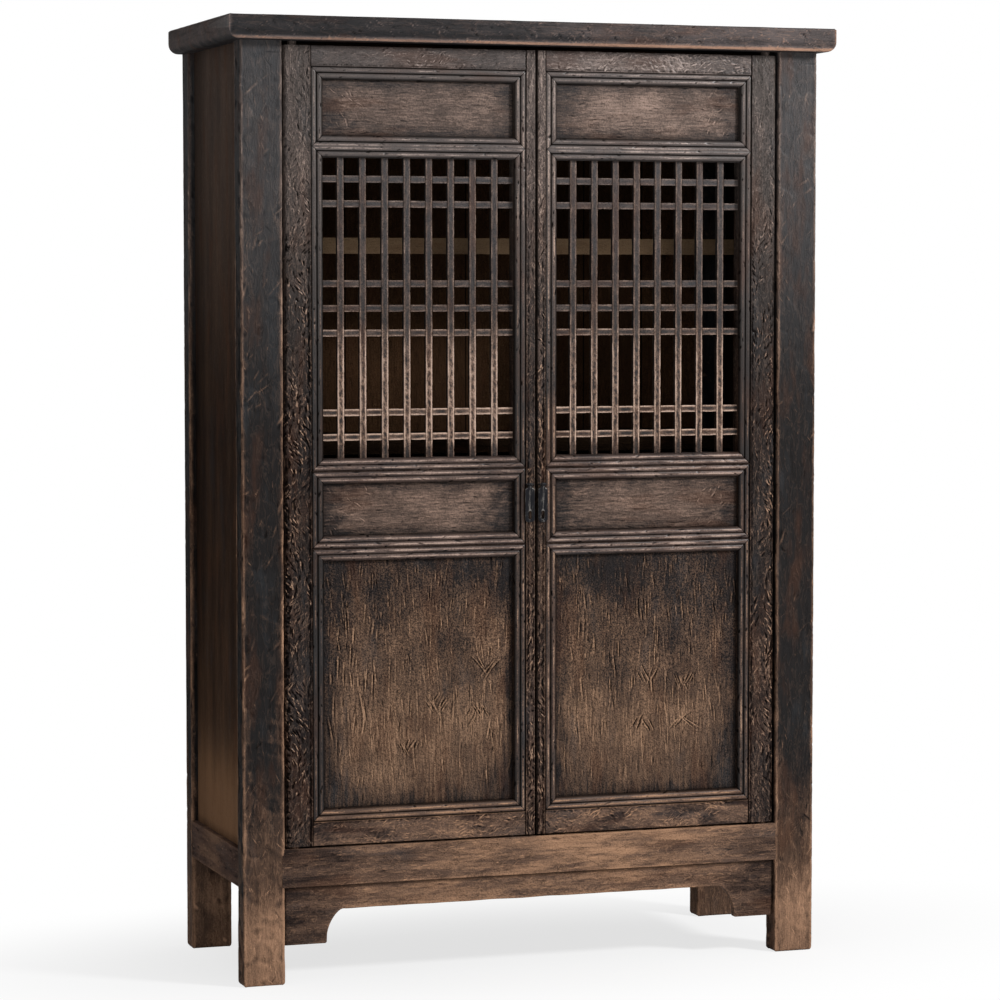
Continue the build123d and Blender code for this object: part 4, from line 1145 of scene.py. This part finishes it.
def claws(count, seed, across, up):
    """Strokes in groups of seven: four gouges side by side, and three that lean across."""
    draw = np.random.default_rng(seed)
    groups = scattered(count, seed, across, up, (11, 21), (1.3, 1.8), (24, 50), (0.8, 1.4))
    rows = np.repeat(groups, 7, 0)
    rows[:, 0] += 5.5 * np.tile([-1.5, -0.5, 0.5, 1.5, 2.6, 3.6, 4.6], count)
    rows[:, 4] *= (np.tile([1, 1, 1, 1, -1, -1, -1], count)
                   * np.repeat(draw.choice([-1, 1], count), 7))
    rows[:, :5] += draw.normal(0, 1, (7 * count, 5)) * (1.2, 5, 4, 0.15, 5)
    return rows


def skirt_marks(a, z, z0, z1, seed, bold):
    """Depth on a tall panel, and how much of it is a raised line, both in mm.

    Pebbles and faint upright crests make the ground. Upright scratches stand on it: short
    ones near the top, long ones anywhere, and bold ones in one band across the panel.
    Lower down there are a few groups of slanting gouges.
    """
    sway = 7 * rumple(a / 30, z / 110, seed)
    fine = 0.25 * (1 - worms((a + sway) / 6.5, z / 60, seed + 1, 0.25))
    pebbled = 0.5 * (1 - scallops(a / 3.6, z / 4.2, seed + 2))
    smooth = eased(rumples(a / 90, z / 110, seed + 3, 2), -0.2, 0.5)
    slants = claws(4, seed + 5, (90, 400), (z0 + 110, z0 + 300))
    raised = ridges(a + 0.3 * sway, z, np.concatenate([
        scattered(130, seed + 4, (50, 436), (z0 + 40, z1 - 12), (8, 28), (1.2, 1.8), (-9, 9),
                  (0.5, 1.1)),
        scattered(70, seed + 8, (56, 432), (z1 - 140, z1 - 16), (6, 18), (1.2, 1.7), (-7, 7),
                  (0.7, 1.2)),
        scattered(44, seed + 9, (56, 430), (z0 + 70, z1 - 90), (20, 52), (1.1, 1.6), (-5, 5),
                  (0.4, 0.9)),
        scattered(24, seed + 10, bold, (z0 + 150, z1 - 90), (10, 34), (1.6, 2.4), (-9, 9),
                  (0.8, 1.5)), slants]))
    cuts = np.concatenate([slants + [2.6, 0, 0, 0.2, 0, -0.2],
                           scattered(110, seed + 6, (46, 440), (z0, z1), (6, 22), (1.3, 2.4),
                                     (-14, 14), (0.4, 1.2))])
    deep = 1.6 + fine + pebbled * (1 - 0.5 * smooth) + strokes(a + 0.3 * sway, z, cuts)
    return deep - raised, raised


def board_marks(a, z, z0, z1, seed):
    """Depth on a low panel and its raised lines: level grain, slanting marks at one end."""
    sway = 5 * rumple(z / 20, a / 120, seed)
    lines = 0.5 * (1 - worms((z + sway) / 4.4, a / 45, seed + 1, 0.28))
    waves = 0.5 * (1 + rumples(z / 12, a / 90, seed + 2, 2))
    cuts = scattered(70, seed + 4, (z0, z1), (48, 438), (4, 16), (1.2, 1.9), (-14, 14),
                     (0.3, 0.8))
    slants = scattered(14, seed + 5, (z0 + 8, z1 - 8), (340, 432), (4, 10), (1.2, 1.8),
                       (28, 70), (0.4, 0.9))
    raised = ridges((z + sway).T, a.T, slants).T
    return 1.2 + lines + waves + strokes(z.T, a.T, cuts).T - raised, raised


def skirt_rubbed(side, a, z, z0, z1, seed):
    """Wear of a tall panel: pale in the middle, dark in an uneven border and one corner."""
    ragged = (15 * rumples(a / 24, z / 70, seed + 6, 3)
              + 13 * rumples(a / 6, z / 150, seed + 12, 2))
    at_left, at_right, at_top, pale = SKIRT_BORDER[side]
    left, right = (OPEN_OUTER - a, a - OPEN_INNER)[::-side]
    rubbed = (eased(left + ragged, 0, at_left) * eased(right + ragged, -6, at_right)
              * eased(z1 - z + 1.3 * ragged, 6, at_top) * eased(z - z0 + 1.3 * ragged, -8, 40))
    corner = np.exp(-((right - 30) / 75) ** 2 - ((z - z0 - 45 - ragged) / 45) ** 2)
    cloudy = eased(rumples(a / 70, z / 120, seed + 11, 3), 0.0, 0.5) * eased(z, 420, 640)
    return (0.10 + pale * rubbed ** 0.75 - 0.26 * corner + 0.20 * near(z - z0 - 140, 90) * rubbed
            - 0.18 * cloudy)


def board_rubbed(side, name, a, z, in_a, in_z, seed):
    """Wear of a low panel: pale in the middle, darker at both ends and along its edges."""
    ragged = 15 * rumples(a / 24, z / 14, seed + 6, 3)
    ends, right = BOARD_WEAR[name]
    level = ends + (1 - ends) * eased(in_a + 1.8 * ragged, 2, 76)
    return ((0.66 + right * (side > 0)) * level
            * (0.4 + 0.6 * eased(in_z + 0.6 * ragged, -4, 32)))


def panel(side, name, seed):
    """Flat panel with scraped grain, scratches, and a rubbed middle."""
    z0, z1 = OPENINGS[name]
    tall = name == "skirt"
    across, up = (1.55, 1.95) if tall else (1.9, 1.3)
    z, a = np.broadcast_arrays(
        spread(z0 - GROOVE, up, z1 + GROOVE)[:, None],
        spread(OPEN_INNER - GROOVE, across, OPEN_OUTER + GROOVE)[None, :])
    in_a, in_z = np.minimum(a - OPEN_INNER, OPEN_OUTER - a), np.minimum(z - z0, z1 - z)
    if tall:
        deep, raised = skirt_marks(a, z, z0, z1, seed, (330, 432) if side < 0 else (70, 330))
        wear_and_painted_light = skirt_rubbed(side, a, z, z0, z1, seed)
    else:
        deep, raised = board_marks(a, z, z0, z1, seed)
        wear_and_painted_light = board_rubbed(side, name, a, z, in_a, in_z, seed)
    stands_out = proud(deep, 3, 0.9)
    wear_and_painted_light = (wear_and_painted_light + 0.14 * rumples(a / 70, z / 70, seed + 7, 3)
            + (0.3 if tall else 0.4) * stands_out + 0.42 * np.clip(raised, 0, 1))
    painted_shadow_below = np.roll(raised, (-1, 2 * side), (0, 1)) - raised  # painted shadow below and beside each raised line
    # The narrow dark line where the panel meets the frame is painted shade in that recess.
    grime_and_painted_shade = (eased(-stands_out, 0.15, 0.8) * 0.7 + 0.7 * np.exp(-np.minimum(in_a, in_z) / 3.5)
              + 0.6 * np.clip(painted_shadow_below, 0, 1))
    front = points_of(side * a, SHOULDER_Y + np.clip(deep, 0.05, 6), z, wear_and_painted_light, grime_and_painted_shade,
                      0.25 + 0.5 * np.clip(raised, 0, 0.5))
    back = moved_back(rim(front), PANEL_BACK)
    back[:, 3:5] = 0.3, 0.15
    return backed(front, back)


for name, side in SIDES.items():
    for k, opening in enumerate(("skirt", "waist", "frieze")):
        wood = woods["panel_wood_upright" if opening == "skirt" else "panel_wood_level"]
        piece(f"{name}_door_{opening}_panel", [panel(side, opening, 160 + 15 * k + side)], wood,
              f"{name}_door", "panel_wood")

# %% [markdown]
# ## Lattice
# The window is a grid of thin square bars, half lapped where they cross: the uprights
# are cut from behind and the crossbars from the front, so the uprights run unbroken
# over the face. Their arrises are rubbed to bare wood, most of all low down.

# %% Lattice
BAR, ROOM, BAR_FRONT, BAR_BACK = 14.0, 31.5556, -204.0, -192.0  # ROOM is between two bars
UPRIGHTS = OPEN_INNER + ROOM + BAR / 2 + (ROOM + BAR) * np.arange(8)
CROSSBARS = np.array([1079.0, 1127.5, 1284.0, 1332.5, 1381.0, 1537.5, 1586.0])


def bar(middle, start, end, crossings, upright, side, seed):
    """One bar carried along its length, cut half through at every crossing.

    Low down, stain is left only in the middle of each face, as an island between two
    crossings on the crossbars and as flecks on the uprights.
    """
    spots, normals, way, gap = outline(middle - BAR / 2, middle + BAR / 2, BAR_FRONT, BAR_BACK,
                                       1.6, (2.2, 2.6, 4.0, 2.6))
    edges = np.sort(np.concatenate([crossings - BAR / 2, crossings + BAR / 2]))
    stops = [stop for edge in edges for stop in (4.0, edge - 0.02, 0.04, edge + 0.02)]
    v = spread(start, *stops, 4.0, end)[:, None]
    from_cross = np.abs(v - crossings).min(1)[:, None]
    cut = from_cross < BAR / 2
    v = np.broadcast_to(v, (len(v), len(way)))
    u = np.broadcast_to(way, v.shape)
    arris = near(gap, 1.7)
    deep = 0.15 * (1 + rumples(u / 9, v / 26, seed, 3)) + np.clip(
        rumples(u / 7, v / 11, seed + 1, 2) - 0.3, 0, 1) * (0.3 + 1.2 * arris)
    across, y = spots[:, 0] - normals[:, 0] * deep, spots[:, 1] - normals[:, 1] * deep
    half = (BAR_FRONT + BAR_BACK) / 2
    y = np.where(cut, np.minimum(y, half) if upright else np.maximum(y, half), y)
    if not upright:
        y = y + 0.5 * (normals[:, 1] < -0.5) * ~cut

    low = v if upright else np.full(v.shape, middle)
    level = eased(1330 - low, 0, 110) * eased(low, 1048, 1074)
    front = eased(-normals[:, 1], 0.2, 0.9)
    inner = near(gap - 3.6, 1.6) + 0.35 * eased(gap, 3.6, 5)
    # Faces of a bar that don't face the front are painted dark as painted shade; deep pits hold
    # grime.
    grime_and_painted_shade = 0.8 * (1 - front) * (1 - arris) + eased(deep, 0.8, 1.6) * 0.4
    if upright:
        island = (eased(rumples(u / 6, v / 9, seed + 5, 2), -0.15, 0.35) * (0.5 + 0.5 * level)
                  + (1 - level) * 0.5)
    else:
        island = eased(from_cross, 8, 13) * (0.75 + 0.5 * rumple(u / 12, v / 25, seed + 5))
        grime_and_painted_shade = grime_and_painted_shade + 0.6 * near(from_cross - 7.2, 1.4)
    rubbed = (0.12 + (0.54 - 0.14 * (side > 0)) * level
              + arris * (0.54 + 0.24 * level) * (0.75 + 0.6 * rumple(u / 9, v / 34, seed + 2)))
    wear_and_painted_light = (rubbed - inner * island * (0.06 + 0.62 * level)
            + 0.18 * rumples(u / 10, v / 20, seed + 3, 2)) * (0.3 + 0.7 * front)
    spots = (side * across, y, v) if upright else (side * v, y, across)
    return carried(points_of(*spots, wear_and_painted_light, grime_and_painted_shade, 0.3 * front))


low, high = OPENINGS["window"]
for name, side in SIDES.items():
    piece(f"{name}_door_lattice_uprights",
          [bar(x, low - TUCK, high + TUCK, CROSSBARS, True, side, 230 + 9 * k + side)
           for k, x in enumerate(UPRIGHTS)], woods["lattice_wood_upright"], f"{name}_door")
    piece(f"{name}_door_lattice_crossbars",
          [bar(z, OPEN_INNER - TUCK, OPEN_OUTER + TUCK, UPRIGHTS, False, side,
               330 + 9 * k + side)
           for k, z in enumerate(CROSSBARS)], woods["lattice_wood_level"], f"{name}_door")

# %% [markdown]
# ## Iron pulls
# Each door has a drop plate that hangs from a wire staple. The plate is drawn as a belt
# that runs once round its slot: every station of the belt is a section from the slot's
# edge out to the plate's edge and back behind it.

# %% Iron finish and pulls
iron = Finish("iron")
iron_cloud = iron.cloud(iron.place(), 420.0)
iron_bright = iron.step(iron.told("wear_and_painted_light") + (iron_cloud - 0.5) * 0.8, 0.2, 1.0)
iron_black = iron.finish(
    iron.blend(iron_bright, linear("#1b1b1e"), linear("#77736f")),
    iron.step(iron_cloud, 0.3, 0.7, 0.40, 0.55), iron_cloud, 0.0010, 0.6, 1.15, metal=0.5)

PULL_X, PULL_Z, EYE_Y = 13.8, 980.0, -221.4  # middle of the eye that the plate hangs from
PLATE_FRONT, PLATE_BACK, PLATE_LOW, PLATE_ROUND = -221.2, -218.2, 904.0, 7.0
SLOT_LOW, SLOT_HIGH, SLOT_ROUND = 913.5, 923.5, 3.5  # middles and radius of its two ends
# the staple's half width and the end of its legs, then the radii of its bends and wire
LEG, LEG_END, BEND, WIRE = 7, -203.0, 2.2, 1.6


def evenly(corners, count):
    """Points spaced evenly round a closed outline."""
    closed = np.concatenate([corners, corners[:1]])
    way = way_along(closed)
    at = np.linspace(0, way[-1], count, endpoint=False)
    return np.stack([np.interp(at, way, closed[:, k]) for k in (0, 1)], -1)


def arc(cx, cz, radius, start, end, count=8):
    """Points on part of a circle, angles in degrees."""
    turn = np.radians(np.linspace(start, end, count))
    return np.stack([cx + radius * np.cos(turn), cz + radius * np.sin(turn)], -1)


def pull_plate(side):
    """Drop plate with softened edges and a slot, drawn as a belt round the slot."""
    neck = np.array([(4.2, PULL_Z), (4.2, 974), (5, 973), (7, 973), (10, 970)])
    low = PLATE_LOW + PLATE_ROUND
    outer = np.concatenate([[(0, PULL_Z)], neck, arc(3, low, PLATE_ROUND, 0, -90),
                            arc(-3, low, PLATE_ROUND, -90, -180), neck[::-1] * (-1, 1)])
    slot = np.concatenate([arc(0, SLOT_HIGH, SLOT_ROUND, 90, 0),
                           arc(0, SLOT_LOW, SLOT_ROUND, 0, -180, 14),
                           arc(0, SLOT_HIGH, SLOT_ROUND, 180, 90)])
    outer, slot = evenly(outer, 160), evenly(slot, 160)
    share = np.array([0, 0.03, 0.08, 0.25, 0.45, 0.65, 0.85, 0.93, 0.975, 1.0])
    drop = np.array([0.9, 0.25, 0.0, 0, 0, 0, 0, 0.05, 0.35, 1.0])
    on_front = np.arange(2 * len(share)) < len(share)
    share, drop = np.concatenate([share, share[::-1]]), np.concatenate([drop, -drop[::-1]])
    spots = slot[:, None] + share[:, None] * (outer - slot)[:, None]
    x, z = spots[..., 0], spots[..., 1]
    hammered = 0.25 * (1 - scallops(x / 5, z / 6, 400 + side))
    y = np.where(on_front, PLATE_FRONT, PLATE_BACK) + drop + hammered * on_front
    # The lighter band down the middle of the plate is a painted highlight standing for a low
    # ridge.
    wear_and_painted_light = (0.25 + 0.5 * np.isin(share, (0.0, 0.03, 0.975, 1.0)) - 1.2 * hammered
            + 0.3 * rumples(x / 9, z / 16, 410 + side, 2) + 0.4 * near(x - 1, 2.6))
    belt = points_of(side * (PULL_X + x), y, z, wear_and_painted_light)
    return carried(np.concatenate([belt, belt[:1]]), caps=False)


def knuckle(side):
    """Rolled eye on top of the plate: a ring section turned round the staple's bar."""
    turn = np.linspace(0, 2 * math.pi, 33)[:, None]
    radius = np.array([1.72, 1.72, 2.0, 2.9, 3.2, 3.2, 2.9, 2.0])
    along = np.array([-3.9, 3.9, 4.2, 4.2, 3.8, -3.8, -4.2, -4.2])
    return carried(points_of(side * (PULL_X + along), EYE_Y + radius * np.cos(turn),
                             PULL_Z + radius * np.sin(turn), 0.3), caps=False)


def staple(side):
    """Round wire bent to a square staple: a circle carried along the bent line."""
    turn = quarter(7, 1)[:, None]
    left = np.concatenate([[(-LEG, LEG_END), (-LEG, EYE_Y + BEND)],
                           np.concatenate([-LEG + BEND * (1 - np.cos(turn)),
                                           EYE_Y + BEND * (1 - np.sin(turn))], 1)])
    path = np.concatenate([left, left[::-1] * (-1, 1)])
    way = np.gradient(path, axis=0)
    way /= np.hypot(*way.T)[:, None]
    ring = np.linspace(0, 2 * math.pi, 16, endpoint=False)
    out, up = WIRE * np.cos(ring), WIRE * np.sin(ring)
    return carried(points_of(side * (PULL_X + (path[:, :1] - way[:, 1:] * out)),
                             path[:, 1:] + way[:, :1] * out, PULL_Z + up, 0.3))


for name, side in SIDES.items():
    piece(f"{name}_door_pull_plate", [pull_plate(side), knuckle(side)], iron_black,
          f"{name}_pull", "iron", sharp=60)
    piece(f"{name}_door_pull_staple", [staple(side)], iron_black, f"{name}_door", "iron",
          sharp=60)

# %% [markdown]
# ## Inside and back
# The boards, shelves and inner rails are plain planed timber with square edges, so their
# imported shapes stay as they are and only get a finish. The timber deep inside, all but
# the back boards and the upper shelf, gets a much darker copy of that wood: painted shade.

# %% Inner timber
INSIDE = {
    "inner_wood_upright": ("back_boards",), "shelf_wood": ("upper_shelf",),
    "shaded_inner_wood_level": ("floor_board", "door_stop", "front_top_rail", "back_top_rail",
                         "back_bottom_rail", "middle_shelf", "lower_shelf"),
    "shaded_inner_wood_deep": ("left_top_rail", "right_top_rail", "upper_shelf_bearers",
                        "middle_shelf_bearers", "lower_shelf_bearers")}
for finish, nodes in INSIDE.items():
    for node in nodes:
        frame["nodes"][node].data.materials.clear()
        frame["nodes"][node].data.materials.append(woods[finish])
    print(finish, "on", ", ".join(nodes))

# %% [markdown]
# ## Room
# A pale floor that runs off to white, a white backdrop, and soft lamps: a large one in
# front and above on the right, a weaker one on the left, and an even grey from all
# round. The floor keeps the cabinet's shadow near it and fades to pure white further out.

# %% Floor, backdrop and lamps
FLOOR_HALF = 30  # metres
WHITE = (1, 1, 1, 1)


def seen_white(finish):
    """1 for rays that come straight from the camera, a mirror or a glass."""
    camera_ray, mirror_ray, glass_ray = (
        finish.node("ShaderNodeLightPath", out=f"Is {kind} Ray")
        for kind in ("Camera", "Glossy", "Transmission"))
    return finish.worked("MAXIMUM", camera_ray, mirror_ray + glass_ray)


floor_paint = Finish("floor_paint")
far = floor_paint.step(floor_paint.node("ShaderNodeVectorMath", {"operation": "LENGTH"},
                                        {0: floor_paint.place((0.5, 1.0, 1.0))}, out="Value"),
                       0.2, 0.8)
shadowed = floor_paint.node("ShaderNodeBsdfDiffuse", sockets={"Color": linear("#fafafa")})
white = floor_paint.node("ShaderNodeEmission", sockets={"Color": WHITE, "Strength": 1.0})
both = floor_paint.node("ShaderNodeMixShader", sockets={
    0: (far * 0.28 + 0.72) * seen_white(floor_paint), 1: shadowed, 2: white})
floor_paint.node("ShaderNodeOutputMaterial", sockets={"Surface": both})
floor_mesh = bpy.data.meshes.new("floor")
floor_mesh.from_pydata([(x * FLOOR_HALF, y * FLOOR_HALF, 0)
                        for x, y in ((-1, -1), (1, -1), (1, 1), (-1, 1))], [], [(0, 1, 2, 3)])
floor_mesh.materials.append(floor_paint.material)
floor = bpy.data.objects.new("floor", floor_mesh)
bpy.context.scene.collection.objects.link(floor)

world = bpy.data.worlds.new("room")
bpy.context.scene.world = world
world.use_nodes = True
room = Finish("room", world.node_tree)
level = room.step(seen_white(room), 0.0, 1.0, 0.30, 1.0)
light = room.node("ShaderNodeBackground", sockets={"Color": WHITE, "Strength": level})
room.node("ShaderNodeOutputWorld", sockets={"Surface": light})


def lamp(name, place, aim, size, watts):
    """A round soft lamp that faces a point."""
    data = bpy.data.lights.new(name, "AREA")
    data.shape, data.size, data.energy = "DISK", size, watts
    obj = bpy.data.objects.new(name, data)
    way = np.array(aim, float) - np.array(place, float)
    obj.location = place
    obj.rotation_euler = (math.acos(-way[2] / np.linalg.norm(way)), 0,
                          math.atan2(way[1], way[0]) - math.pi / 2)
    bpy.context.scene.collection.objects.link(obj)


lamp("key", (3.0, -3.1, 3.2), (0, -0.2, 1.1), 0.9, 205)
lamp("fill", (-2.2, -5.4, 2.2), (0, -0.2, 0.9), 2.4, 40)
print("room ready")

# %% Count the triangles and pieces
print("triangles:", sum(made.values()), "pieces:", len(made))
